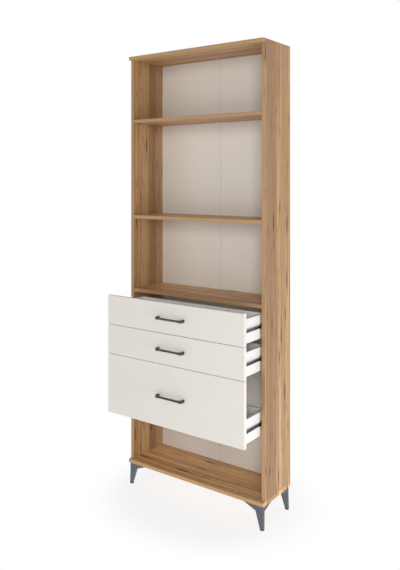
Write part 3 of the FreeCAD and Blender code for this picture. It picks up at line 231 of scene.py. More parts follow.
def paint(tree: NodeTree, colour: Any, *coats: Coat) -> Node:
    """Lays coats of colour over one another.

    Args:
        tree: The material's node tree.
        colour: The colour underneath: linear values, a socket or a node.
        coats: The coats, the lowest first.

    Returns:
        The node that gives the finished colour.
    """
    for coat in coats:
        reach = eased(coat.pattern, coat.start, coat.end, coat.share)
        mask = add(tree, "ShaderNodeMapRange", reach, **SMOOTH)
        mixed = {0: mask, COLOUR_A: colour, COLOUR_B: linear(coat.shade)}
        colour = add(tree, "ShaderNodeMix", mixed, data_type="RGBA")
    return colour


def fibres(tree: NodeTree, laid: Any, width: float, length: float, detail: float = 2.0) -> Node:
    """Adds a streaky pattern whose streaks have a real width and length.

    Args:
        tree: The material's node tree.
        laid: The vector to read: X across the streaks, Y along them, Z through the board.
        width: Width of a streak.
        length: Length of a streak.
        detail: How many finer layers the pattern has.

    Returns:
        The noise node.
    """
    scale = (per(width), per(length), per(width))
    placed = add(tree, "ShaderNodeMapping", {"Vector": laid, "Scale": scale})
    return add(tree, "ShaderNodeTexNoise", {"Vector": placed, "Scale": 1.0, "Detail": detail})


@dataclass(frozen=True)
class Skin:
    """How a surface shines and feels: its roughness, and the strength and height of its texture."""

    rough_at_0: float
    rough_at_1: float
    strength: float
    height: float

    def inputs(self, tree: NodeTree, gloss: Any, texture: Any) -> dict[str, Any]:
        """Gives the roughness and the normal of the surface shader.

        Args:
            tree: The material's node tree.
            gloss: The pattern that the roughness follows, from 0 to 1.
            texture: The pattern that stands up.

        Returns:
            Both inputs, by name.
        """
        rough = {"Value": gloss, "To Min": self.rough_at_0, "To Max": self.rough_at_1}
        bump = {"Strength": self.strength, "Distance": self.height * MM, "Height": texture}
        return {
            "Roughness": add(tree, "ShaderNodeMapRange", rough),
            "Normal": add(tree, "ShaderNodeBump", bump),
        }


@dataclass(frozen=True)
class Finish:
    """What a surface is made of."""

    name: str

    def make(self) -> Material:
        """Builds the material.

        Returns:
            The material, ready to be put on a piece.
        """
        material = bpy.data.materials.new(self.name)
        tree = emptied(material)
        shader = add(tree, "ShaderNodeBsdfPrincipled", self.surface(tree))
        add(tree, "ShaderNodeOutputMaterial", {"Surface": shader})
        return material

    def surface(self, tree: NodeTree) -> dict[str, Any]:
        """Gives the inputs of the surface shader, by name."""
        raise NotImplementedError


@dataclass(frozen=True)
class OakDecor(Finish):
    """Chipboard faced with melamine paper, printed in oak and embossed with its pores.

    The eye gets straight strips of tan, grey-brown and golden wood, dark knots drawn out along the grain with
    the strips parting round them, and a satin sheen. The front edge has a plainer band, and the rear edge is
    raw chipboard.
    """

    grain: Axis
    seed: float
    # Multiplier on the board's colour, which the carcass uses for painted light and painted shade per board
    tone: float
    # Seeds of the left and the right side, whose print runs on over the ends of a level board
    end_seeds: tuple[float, float]
    # Where the front edge lies, and how high the upper face of a board that shows its paper's cut edge
    front: float
    crest: Optional[float]
    stave: float = 50.0
    strip_width: float = 13.0
    strip_length: float = 700.0
    line_width: float = 4.5
    line_length: float = 150.0
    streak_width: float = 5.0
    streak_length: float = 85.0
    sway: float = 26.0
    sway_width: float = 170.0
    sway_length: float = 620.0
    knot_across: float = 70.0
    knot_along: float = 240.0
    knot_half_width: float = 5.5
    knot_half_length: float = 36.0
    tail_half_width: float = 8.0
    tail_half_length: float = 150.0
    # How much likelier a knot is at the floor than in the middle, and the height at which it is as much rarer
    foot_knots: float = 0.28
    knots_thin_out: float = 2000.0
    knot_odds: tuple[float, float] = (0.42, 0.50)
    # What distances from a knot are multiplied by: the less, the larger the knot
    knot_shrink: tuple[float, float] = (0.8, 1.8)
    knot_ragged: float = 0.6
    # Where, in half sizes, a knot and its tail end, and how far out each is at its darkest
    knot_rim: float = 1.15
    knot_core: float = 0.7
    tail_core: float = 0.0
    # How strongly a knot pushes the grain aside, from 0 to 1
    parting: float = 0.75
    pore_width: float = 1.6
    pore_length: float = 26.0
    glue_line: float = 1.2
    glue_blur: float = 0.01
    crest_line: float = 2.4
    flake: float = 4.0
    skin: Skin = Skin(0.40, 0.54, 0.25, 0.3)

    def surface(self, tree: NodeTree) -> dict[str, Any]:
        """Gives the inputs of the surface shader.

        Args:
            tree: The material's node tree.

        Returns:
            The inputs, by name.
        """
        coords = add(tree, "ShaderNodeTexCoord")
        split = add(tree, "ShaderNodeSeparateXYZ", {0: coords.outputs["Object"]}).outputs
        facing = add(tree, "ShaderNodeSeparateXYZ", {0: coords.outputs["Normal"]}).outputs
        laid = self.wander(tree, self.lay_print(tree, split, facing))
        laid, knot, tail = self.part_round_knots(tree, laid, split)
        lines = fibres(tree, laid, self.line_width, self.line_length, detail=3.0)
        # Pores are about 0.3 mm wide and are drawn at 1.6 mm, so that a near view shows them.
        pores = fibres(tree, laid, self.pore_width, self.pore_length, detail=1.0)
        colour = self.print_wood(tree, laid, lines)
        # Multiplies the colour by the board's tone, the painted light and shade that the carcass sets per
        # board
        painted_light_mix = {0: 1.0, COLOUR_A: colour, COLOUR_B: (self.tone, self.tone, self.tone, 1.0)}
        colour = add(tree, "ShaderNodeMix", painted_light_mix, data_type="RGBA", blend_type="MULTIPLY")
        colour = paint(
            tree,
            colour,
            Coat("#80562f", tail, share=0.60),
            Coat("#7a5a3b", pores, share=0.25, start=0.58, end=0.68),
            Coat("#532f15", knot, share=0.95),
        )
        colour = self.band_edges(tree, colour, coords, split, facing)
        height = add(tree, "ShaderNodeMath", {0: lines, 1: pores}, operation="SUBTRACT")
        return {"Base Color": colour, "IOR": RESIN_IOR, **self.skin.inputs(tree, lines, height)}

    @staticmethod
    def shift(seed: float) -> tuple[float, ...]:
        """Gives the stretch of the print that a seed picks, as an offset in metres."""
        return tuple(step * seed for step in PRINT_STEP)

    def lay_print(self, tree: NodeTree, split: NodeOutputs, facing: NodeOutputs) -> Node:
        """Lays the printed paper on the board.

        Args:
            tree: The material's node tree.
            split: The place on the board, as X, Y and Z.
            facing: The way the surface faces, as X, Y and Z.

        Returns:
            The vector across the grain, along it and through the board.
        """
        upright = add(tree, "ShaderNodeCombineXYZ", {0: split["Y"], 1: split["Z"], 2: split["X"]})
        if self.grain is Axis.Z:
            return add(tree, "ShaderNodeVectorMath", {0: upright, 1: self.shift(self.seed)}, operation="ADD")
        level = add(tree, "ShaderNodeCombineXYZ", {0: split["Y"], 1: split["X"], 2: split["Z"]})
        level = add(tree, "ShaderNodeVectorMath", {0: level, 1: self.shift(self.seed)}, operation="ADD")
        left, right = (self.shift(seed) for seed in self.end_seeds)
        half = add(tree, "ShaderNodeMath", {0: split["X"], 1: 0.0}, operation="GREATER_THAN")
        picked = {0: half, VECTOR_A: left, VECTOR_B: right}
        picked = add(tree, "ShaderNodeMix", picked, data_type="VECTOR")
        ends = add(tree, "ShaderNodeVectorMath", {0: upright, 1: picked}, operation="ADD")
        turned = add(tree, "ShaderNodeMath", {0: facing["X"]}, operation="ABSOLUTE")
        at_end = add(tree, "ShaderNodeMath", {0: turned, 1: TURNED}, operation="GREATER_THAN")
        chosen = {0: at_end, VECTOR_A: level, VECTOR_B: ends}
        return add(tree, "ShaderNodeMix", chosen, data_type="VECTOR")

    def wander(self, tree: NodeTree, laid: Node) -> Node:
        """Lets the grain wander a little from a straight line.

        Args:
            tree: The material's node tree.
            laid: The vector across and along the grain.

        Returns:
            The vector with its first part shifted.
        """
        slow = fibres(tree, laid, self.sway_width, self.sway_length, detail=1.0)
        centred = add(tree, "ShaderNodeMath", {0: slow, 1: 0.5}, operation="SUBTRACT")
        moved = add(tree, "ShaderNodeMath", {0: centred, 1: self.sway * MM}, operation="MULTIPLY")
        offset = add(tree, "ShaderNodeCombineXYZ", {0: moved})
        return add(tree, "ShaderNodeVectorMath", {0: laid, 1: offset}, operation="ADD")

    def part_round_knots(self, tree: NodeTree, laid: Node, split: NodeOutputs) -> tuple[Node, Node, Node]:
        """Scatters knots and parts the grain round them.

        Args:
            tree: The material's node tree.
            laid: The vector across and along the grain.
            split: The place on the board, as X, Y and Z.

        Returns:
            The parted vector, the mask of the knots' hearts and the mask of their tails.
        """
        cell = (self.knot_across * MM, self.knot_along * MM, 0.0)
        spread = (per(self.knot_across), per(self.knot_along), 0.0)
        grid = add(tree, "ShaderNodeVectorMath", {0: laid, 1: spread}, operation="MULTIPLY")
        knots = add(tree, "ShaderNodeTexVoronoi", {"Vector": grid, "Scale": 1.0}, voronoi_dimensions="2D")
        apart = {0: grid, 1: knots.outputs["Position"]}
        away = add(tree, "ShaderNodeVectorMath", apart, operation="SUBTRACT")
        away = add(tree, "ShaderNodeVectorMath", {0: away, 1: cell}, operation="MULTIPLY")
        chance = add(tree, "ShaderNodeSeparateColor", {0: knots.outputs["Color"]}).outputs
        # Knots gather in the lower metre of the bookcase.
        low = {"To Min": self.foot_knots, "To Max": -self.foot_knots, "From Max": self.knots_thin_out * MM}
        low = add(tree, "ShaderNodeMapRange", {"Value": split["Z"], **low})
        likely = add(tree, "ShaderNodeMath", {0: chance["Red"], 1: low}, operation="ADD")
        there = add(tree, "ShaderNodeMapRange", eased(likely, *self.knot_odds), **SMOOTH)
        large, small = self.knot_shrink
        shrink = {"Value": chance["Green"], "To Min": large, "To Max": small}
        shrink = add(tree, "ShaderNodeMapRange", shrink)
        ragged = fibres(tree, laid, self.line_width, 2 * self.knot_half_length)
        ragged = {"Value": ragged, "To Min": -self.knot_ragged, "To Max": self.knot_ragged}
        ragged = add(tree, "ShaderNodeMapRange", ragged)
        masks = []
        for half_width, half_length, core in (
            (self.knot_half_width, self.knot_half_length, self.knot_core),
            (self.tail_half_width, self.tail_half_length, self.tail_core),
        ):
            oval = {0: away, 1: (per(half_width), per(half_length), 0.0)}
            oval = add(tree, "ShaderNodeVectorMath", oval, operation="MULTIPLY")
            reach = add(tree, "ShaderNodeVectorMath", {0: oval}, operation="LENGTH").outputs["Value"]
            reach = {0: reach, 1: shrink, 2: ragged}
            reach = add(tree, "ShaderNodeMath", reach, operation="MULTIPLY_ADD")
            inside = add(tree, "ShaderNodeMapRange", eased(reach, self.knot_rim, core), **SMOOTH)
            masks.append(add(tree, "ShaderNodeMath", {0: inside, 1: there}, operation="MULTIPLY"))
        knot, tail = masks
        pull = add(tree, "ShaderNodeMath", {0: tail, 1: -self.parting}, operation="MULTIPLY")
        parted = add(tree, "ShaderNodeVectorMath", {0: away, "Scale": pull}, operation="SCALE")
        parted = add(tree, "ShaderNodeVectorMath", {0: parted, 1: (1.0, 0.0, 0.0)}, operation="MULTIPLY")
        return add(tree, "ShaderNodeVectorMath", {0: laid, 1: parted}, operation="ADD"), knot, tail

    def print_wood(self, tree: NodeTree, laid: Node, lines: Node) -> Node:
        """Mixes the wood's colours.

        Args:
            tree: The material's node tree.
            laid: The vector across and along the parted grain.
            lines: The grain lines.

        Returns:
            The colour.
        """
        strips = fibres(tree, laid, self.strip_width, self.strip_length, detail=3.0)
        wood = [(0.30, "#9c7249"), (0.44, "#b3875a"), (0.55, "#c69c6c"), (0.70, "#d8b487")]
        colour = add(tree, "ShaderNodeValToRGB", {0: strips}, stops=wood)
        across = add(tree, "ShaderNodeSeparateXYZ", {0: laid}).outputs["X"]
        staves = {"W": across, "Scale": per(self.stave)}
        staves = add(tree, "ShaderNodeTexVoronoi", staves, voronoi_dimensions="1D")
        tone = add(tree, "ShaderNodeSeparateColor", {0: staves.outputs["Color"]}).outputs
        streaks = fibres(tree, laid, self.streak_width, self.streak_length)
        return paint(
            tree,
            colour,
            Coat("#ad8562", tone["Red"], share=0.55, start=0.50, end=0.80),
            Coat("#d4ae76", tone["Green"], share=0.50, start=0.40, end=0.80),
            Coat("#8a6441", tone["Blue"], share=0.45, start=0.66, end=0.90),
            Coat("#845c38", lines, share=0.35, start=0.48, end=0.28),
            Coat("#694022", streaks, share=0.75, start=0.62, end=0.69),
        )

    def band_edges(
        self,
        tree: NodeTree,
        colour: Node,
        coords: Node,
        split: NodeOutputs,
        facing: NodeOutputs,
    ) -> Node:
        """Gives the front edge its plain band and the rear edge its raw chipboard.

        Args:
            tree: The material's node tree.
            colour: The wood's colour.
            coords: The coordinates node.
            split: The place on the board, as X, Y and Z.
            facing: The way the surface faces, as X, Y and Z.

        Returns:
            The colour with both edges.
        """
        # The band's glue line is 0.3 mm wide and is drawn at 1.2 mm, so that it shows.
        limit = (self.front + self.glue_line) * MM
        glue = Coat("#7c5b3d", split["Y"], share=0.50, start=limit, end=limit - self.glue_blur * MM)
        band = Coat("#b58f66", facing["Y"], share=0.55, start=-TURNED, end=-TURNED_FULL)
        colour = paint(tree, colour, glue, band)
        if self.crest is not None:
            # The top paper's cut edge is 0.3 mm high and is drawn at 2.4 mm, so that it shows.
            limit = (self.crest - self.crest_line) * MM
            cut = Coat("#6b4c30", split["Z"], share=0.60, start=limit, end=limit + self.crest_line * MM)
            colour = paint(tree, colour, cut)
        flakes = {"Vector": coords.outputs["Object"], "Scale": per(self.flake)}
        flakes = add(tree, "ShaderNodeTexVoronoi", flakes).outputs["Color"]
        wood = [(0.0, "#a98658"), (0.5, "#c4a679"), (1.0, "#d9c096")]
        board = add(tree, "ShaderNodeValToRGB", {0: flakes}, stops=wood)
        behind = add(tree, "ShaderNodeMapRange", eased(facing["Y"], TURNED, TURNED_FULL), **SMOOTH)
        return add(tree, "ShaderNodeMix", {0: behind, COLOUR_A: colour, COLOUR_B: board}, data_type="RGBA")


@dataclass(frozen=True)
class PlainMelamine(Finish):
    """Chipboard faced with plain melamine paper, pressed against a satin plate.

    The eye gets one even pale colour with a hardly seen mottle, a fine orange-peel in the highlights, and
    edges painted a little paler than the faces: a painted highlight where light catches the edge bands.
    """

    colour: str = "#dedad2"
    # The edges' paler colour is a painted highlight where light catches the edge band
    edge: str = "#f1ede7"
    thickness: Axis = Axis.Y
    mottle: float = 140.0
    peel: float = 3.0
    skin: Skin = Skin(0.34, 0.44, 0.08, 0.2)

    def surface(self, tree: NodeTree) -> dict[str, Any]:
        """Gives the inputs of the surface shader.

        Args:
            tree: The material's node tree.

        Returns:
            The inputs, by name.
        """
        coords = add(tree, "ShaderNodeTexCoord")
        place = coords.outputs["Object"]
        cloud = add(tree, "ShaderNodeTexNoise", {"Vector": place, "Scale": per(self.mottle), "Detail": 3.0})
        facing = add(tree, "ShaderNodeSeparateXYZ", {0: coords.outputs["Normal"]}).outputs
        turned = add(tree, "ShaderNodeMath", {0: facing[self.thickness.value]}, operation="ABSOLUTE")
        mottled = Coat("#b9b2a6", cloud, share=0.10)
        # The edges turned away from the thickness axis take the paler colour: a painted highlight
        rim = Coat(self.edge, turned, share=1.0, start=0.8, end=0.4)
        colour = paint(tree, linear(self.colour), mottled, rim)
        # The press plate's texture is about 0.5 mm and is drawn at 3 mm, so that highlights show it.
        peel = add(tree, "ShaderNodeTexNoise", {"Vector": place, "Scale": per(self.peel), "Detail": 1.0})
        return {"Base Color": colour, "IOR": RESIN_IOR, **self.skin.inputs(tree, cloud, peel)}


@dataclass(frozen=True)
class Hardboard(Finish):
    """Thin fibreboard, roller-lacquered on its show face and raw on the other.

    The eye gets a flat pale lacquer with faint roller lines on one side, and on the other a warm brown felt
    of short fibres with darker specks.
    """

    colour: str = "#dfdad1"
    raw_axis: Axis = Axis.Y
    raw_sign: float = 1.0
    roller_width: float = 9.0
    roller_length: float = 700.0
    felt: float = 14.0
    fleck: float = 5.0
    # Lacquer at 0, raw felt at 1
    skin: Skin = Skin(0.45, 0.75, 0.15, 0.2)

    def surface(self, tree: NodeTree) -> dict[str, Any]:
        """Gives the inputs of the surface shader.

        Args:
            tree: The material's node tree.

        Returns:
            The inputs, by name.
        """
        coords = add(tree, "ShaderNodeTexCoord")
        place = coords.outputs["Object"]
        split = add(tree, "ShaderNodeSeparateXYZ", {0: place}).outputs
        laid = add(tree, "ShaderNodeCombineXYZ", {0: split["X"], 1: split["Z"], 2: split["Y"]})
        roller = fibres(tree, laid, self.roller_width, self.roller_length)
        lacquer = paint(tree, linear(self.colour), Coat("#b7ad9e", roller, share=0.06))
        felt = add(tree, "ShaderNodeTexNoise", {"Vector": place, "Scale": per(self.felt), "Detail": 5.0})
        fibre = [(0.3, "#866548"), (0.5, "#937152"), (0.7, "#a07e5d")]
        raw = add(tree, "ShaderNodeValToRGB", {0: felt}, stops=fibre)
        # Single fibres are under 1 mm; the flecks are drawn at 5 mm, so that they show.
        fleck = add(tree, "ShaderNodeTexNoise", {"Vector": place, "Scale": per(self.fleck), "Detail": 2.0})
        raw = paint(tree, raw, Coat("#5d4229", fleck, share=0.22, start=0.60, end=0.72))
        facing = add(tree, "ShaderNodeSeparateXYZ", {0: coords.outputs["Normal"]}).outputs
        turned = TURNED * self.raw_sign
        bare = eased(facing[self.raw_axis.value], -turned, turned)
        bare = add(tree, "ShaderNodeMapRange", bare, **SMOOTH)
        colour = add(tree, "ShaderNodeMix", {0: bare, COLOUR_A: lacquer, COLOUR_B: raw}, data_type="RGBA")
        return {"Base Color": colour, "IOR": RESIN_IOR, **self.skin.inputs(tree, bare, felt)}


@dataclass(frozen=True)
class DrawnMetal(Finish):
    """Rolled or drawn steel with a thin zinc plating, or die-cast zinc.

    The eye gets a grey metal with soft broken reflections: long rolling lines on the slides, a grain on
    castings.
    """

    bright: str
    dull: str
    across: float = 4.0
    along: float = 120.0
    skin: Skin = Skin(0.46, 0.28, 0.10, 0.1)

    def surface(self, tree: NodeTree) -> dict[str, Any]:
        """Gives the inputs of the surface shader.

        Args:
            tree: The material's node tree.

        Returns:
            The inputs, by name.
        """
        place = add(tree, "ShaderNodeTexCoord").outputs["Object"]
        split = add(tree, "ShaderNodeSeparateXYZ", {0: place}).outputs
        laid = add(tree, "ShaderNodeCombineXYZ", {0: split["Z"], 1: split["Y"], 2: split["X"]})
        rolled = fibres(tree, laid, self.across, self.along, detail=3.0)
        metal = [(0.35, self.dull), (0.65, self.bright)]
        colour = add(tree, "ShaderNodeValToRGB", {0: rolled}, stops=metal)
        return {"Base Color": colour, "Metallic": 1.0, **self.skin.inputs(tree, rolled, rolled)}


@dataclass(frozen=True)
class Moulding(Finish):
    """Moulded plastic or a powder coat: one colour in the mass, with an eroded or baked grain.

    The eye gets a matt to satin skin with a fine grit in the highlights and a slight cloudiness of tone.
    """

    colour: str
    worn: str
    skin: Skin
    cloud: float = 30.0
    grit: float = 0.9

    def surface(self, tree: NodeTree) -> dict[str, Any]:
        """Gives the inputs of the surface shader.

        Args:
            tree: The material's node tree.

        Returns:
            The inputs, by name.
        """
        place = add(tree, "ShaderNodeTexCoord").outputs["Object"]
        cloud = add(tree, "ShaderNodeTexNoise", {"Vector": place, "Scale": per(self.cloud), "Detail": 4.0})
        colour = paint(tree, linear(self.colour), Coat(self.worn, cloud, share=0.5, start=0.2))
        # The skin's grit is about 0.2 mm and is drawn coarser, so that a near view shows it.
        grit = add(tree, "ShaderNodeTexNoise", {"Vector": place, "Scale": per(self.grit), "Detail": 1.0})
        return {"Base Color": colour, "IOR": RESIN_IOR, **self.skin.inputs(tree, cloud, grit)}


@dataclass(frozen=True)
class Beech(Finish):
    """Turned beech.

    The eye gets a pale pinkish wood with short darker flecks along the dowel.
    """

    fleck_width: float = 1.2
    fleck_length: float = 5.0
    rough: float = 0.6
    strength: float = 0.2
    height: float = 0.2

    def surface(self, tree: NodeTree) -> dict[str, Any]:
        """Gives the inputs of the surface shader.

        Args:
            tree: The material's node tree.

        Returns:
            The inputs, by name.
        """
        place = add(tree, "ShaderNodeTexCoord").outputs["Object"]
        split = add(tree, "ShaderNodeSeparateXYZ", {0: place}).outputs
        laid = add(tree, "ShaderNodeCombineXYZ", {0: split["X"], 1: split["Z"], 2: split["Y"]})
        flecks = fibres(tree, laid, self.fleck_width, self.fleck_length)
        wood = [(0.35, "#b98d62"), (0.5, "#d3ab7d"), (0.7, "#dfbd92")]
        colour = add(tree, "ShaderNodeValToRGB", {0: flecks}, stops=wood)
        bump = {"Strength": self.strength, "Distance": self.height * MM, "Height": flecks}
        bump = add(tree, "ShaderNodeBump", bump)
        return {"Base Color": colour, "Roughness": self.rough, "Normal": bump, "IOR": RESIN_IOR}


def dress(finish: Material, *nodes: str) -> None:
    """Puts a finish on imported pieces.

    Args:
        finish: The material.
        nodes: The names of the pieces.
    """
    for node in nodes:
        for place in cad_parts[node].material_slots:
            place.material = finish
        LOG.info("%s: %s", node, finish.name)


@dataclass(frozen=True)
class FastenerSize:
    """Sizes of one kind of screw or nail, its length from the head's outer face to the tip."""

    head: Head
    radius: float
    height: float
    shank: float
    length: float
    point: float = 4.0
    # Shares of the head's radius: a pan head's crown and shoulder, a flat head's rim, a nail head's edge
    crown: float = 0.66
    shoulder: float = 0.94
    rim: float = 0.97
    nail_edge: float = 0.9
    # The cross recess: half its length and its width in head radii, and its depth in head heights
    arm: float = 0.55
    groove: float = 0.24
    sink: float = 0.6

    def rings(self) -> tuple[float, float, float]:
        """Gives the head's outline.

        Returns:
            Its radius at its outer face, part way down, and where it meets the board.
        """
        if self.head is Head.PAN:
            return self.crown * self.radius, self.shoulder * self.radius, self.radius
        if self.head is Head.FLAT:
            return self.radius, self.rim * self.radius, self.shank
        return self.nail_edge * self.radius, self.radius, self.radius

    def recess(self) -> tuple[float, float, float]:
        """Gives the cross recess, of which a nail has none.

        Returns:
            Its half length, its width and its depth.
        """
        if self.head is Head.NAIL:
            return 0.0, 0.0, 0.0
        return self.arm * self.radius, self.groove * self.radius, self.sink * self.height


@dataclass
class FastenerTree:
    """Geometry Nodes tree that sets a turned fastener on each seat point, its tip along the point's aim."""

    sides: int = 16
    # Where, as a share of the head's height, its outline bends
    bend: float = 0.45
    # How far below its seat the head has stepped in to the shank
    step: float = 0.02
    # The tip's radius as a share of the shank's
    tip: float = 0.15
    lengths: tuple[str, ...] = (
        "Outer radius", "Middle radius", "Seat radius", "Head height", "Shank radius",
        "Length", "Point length", "Recess arm", "Recess width", "Recess depth",
    )

    def build(self) -> NodeTree:
        """Builds the tree.

        Returns:
            The tree, with one named input for each size, one for the seed and one for the finish.
        """
        tree = bpy.data.node_groups.new("turned_fasteners", "GeometryNodeTree")
        face = tree.interface
        face.new_socket("Seats", in_out="INPUT", socket_type="NodeSocketGeometry")
        for name in self.lengths:
            face.new_socket(name, in_out="INPUT", socket_type="NodeSocketFloat")
        face.new_socket("Has recess", in_out="INPUT", socket_type="NodeSocketBool")
        face.new_socket("Seed", in_out="INPUT", socket_type="NodeSocketInt")
        face.new_socket("Finish", in_out="INPUT", socket_type="NodeSocketMaterial")
        face.new_socket("Fasteners", in_out="OUTPUT", socket_type="NodeSocketGeometry")
        given = add(tree, "NodeGroupInput").outputs
        body = self.recessed(tree, given, self.turned(tree, given))
        aim = add(tree, "GeometryNodeInputNamedAttribute", {"Name": "aim"}, data_type="FLOAT_VECTOR")
        turn = add(tree, "FunctionNodeAlignRotationToVector", {"Vector": aim}, axis="Z")
        spin = {NUMBER_A: 0.0, NUMBER_B: math.tau, "Seed": given["Seed"]}
        spin = add(tree, "FunctionNodeRandomValue", spin, data_type="FLOAT")
        about = {"Axis": (0.0, 0.0, 1.0), "Angle": spin}
        about = add(tree, "FunctionNodeAxisAngleToRotation", about)
        stance = {"Rotation": turn, "Rotate By": about}
        stance = add(tree, "FunctionNodeRotateRotation", stance, rotation_space="LOCAL")
        placed = {"Points": given["Seats"], "Instance": body, "Rotation": stance}
        placed = add(tree, "GeometryNodeInstanceOnPoints", placed)
        real = add(tree, "GeometryNodeRealizeInstances", {0: placed})
        dressed = add(tree, "GeometryNodeSetMaterial", {"Geometry": real, "Material": given["Finish"]})
        add(tree, "NodeGroupOutput", {0: dressed})
        return tree

    def turned(self, tree: NodeTree, given: NodeOutputs) -> Node:
        """Turns the fastener's outline round its axis.

        Args:
            tree: The tree.
            given: The tree's inputs.

        Returns:
            The node that gives the closed body.
        """
        mid = add(tree, "ShaderNodeMath", {0: given["Head height"], 1: self.bend}, operation="MULTIPLY")
        under = add(tree, "ShaderNodeMath", {0: given["Head height"], 1: self.step * MM}, operation="ADD")
        taper = {0: given["Length"], 1: given["Point length"]}
        taper = add(tree, "ShaderNodeMath", taper, operation="SUBTRACT")
        tip = add(tree, "ShaderNodeMath", {0: given["Shank radius"], 1: self.tip}, operation="MULTIPLY")
        levels = (0.0, mid, given["Head height"], under, taper, given["Length"])
        radii = (
            given["Outer radius"], given["Middle radius"], given["Seat radius"], given["Shank radius"],
            given["Shank radius"], tip,
        )
        index = add(tree, "GeometryNodeInputIndex")
        picked = []
        for values in (levels, radii):
            picker = add(tree, "GeometryNodeIndexSwitch", {"Index": index}, data_type="FLOAT")
            while len(picker.index_switch_items) < len(values):
                picker.index_switch_items.new()
            for socket, value in zip(list(picker.inputs)[1:], values):
                feed(tree, socket, value)
            picked.append(picker)
        level, radius = picked
        line = add(tree, "GeometryNodeCurvePrimitiveLine", {"End": (0.0, 0.0, 1.0)})
        line = add(tree, "GeometryNodeResampleCurve", {"Curve": line, "Count": len(levels)})
        height = add(tree, "ShaderNodeCombineXYZ", {2: level})
        line = add(tree, "GeometryNodeSetPosition", {"Geometry": line, "Position": height})
        line = add(tree, "GeometryNodeSetCurveRadius", {"Curve": line, "Radius": radius})
        ring = add(tree, "GeometryNodeCurvePrimitiveCircle", {"Resolution": self.sides, "Radius": 1.0})
        width = add(tree, "GeometryNodeInputRadius")
        skin = {"Curve": line, "Profile Curve": ring, "Scale": width, "Fill Caps": True}
        return add(tree, "GeometryNodeCurveToMesh", skin)

    def recessed(self, tree: NodeTree, given: NodeOutputs, body: Node) -> Node:
        """Cuts the cross recess into the head.

        Args:
            tree: The tree.
            given: The tree's inputs.
            body: The turned body.

        Returns:
            The node that gives the cut body, or the plain one for a nail.
        """
        arm = add(tree, "ShaderNodeMath", {0: given["Recess arm"], 1: 2.0}, operation="MULTIPLY")
        deep = add(tree, "ShaderNodeMath", {0: given["Recess depth"], 1: 2.0}, operation="MULTIPLY")
        wide = given["Recess width"]
        bars = []
        for span, breadth in ((arm, wide), (wide, arm)):
            size = add(tree, "ShaderNodeCombineXYZ", {0: span, 1: breadth, 2: deep})
            bars.append(add(tree, "GeometryNodeMeshCube", {"Size": size}))
        cut = {"Mesh 1": body, "Mesh 2": bars}
        cut = add(tree, "GeometryNodeMeshBoolean", cut, operation="DIFFERENCE", solver="EXACT")
        chosen = {"Switch": given["Has recess"], "False": body, "True": cut}
        return add(tree, "GeometryNodeSwitch", chosen, input_type="GEOMETRY")


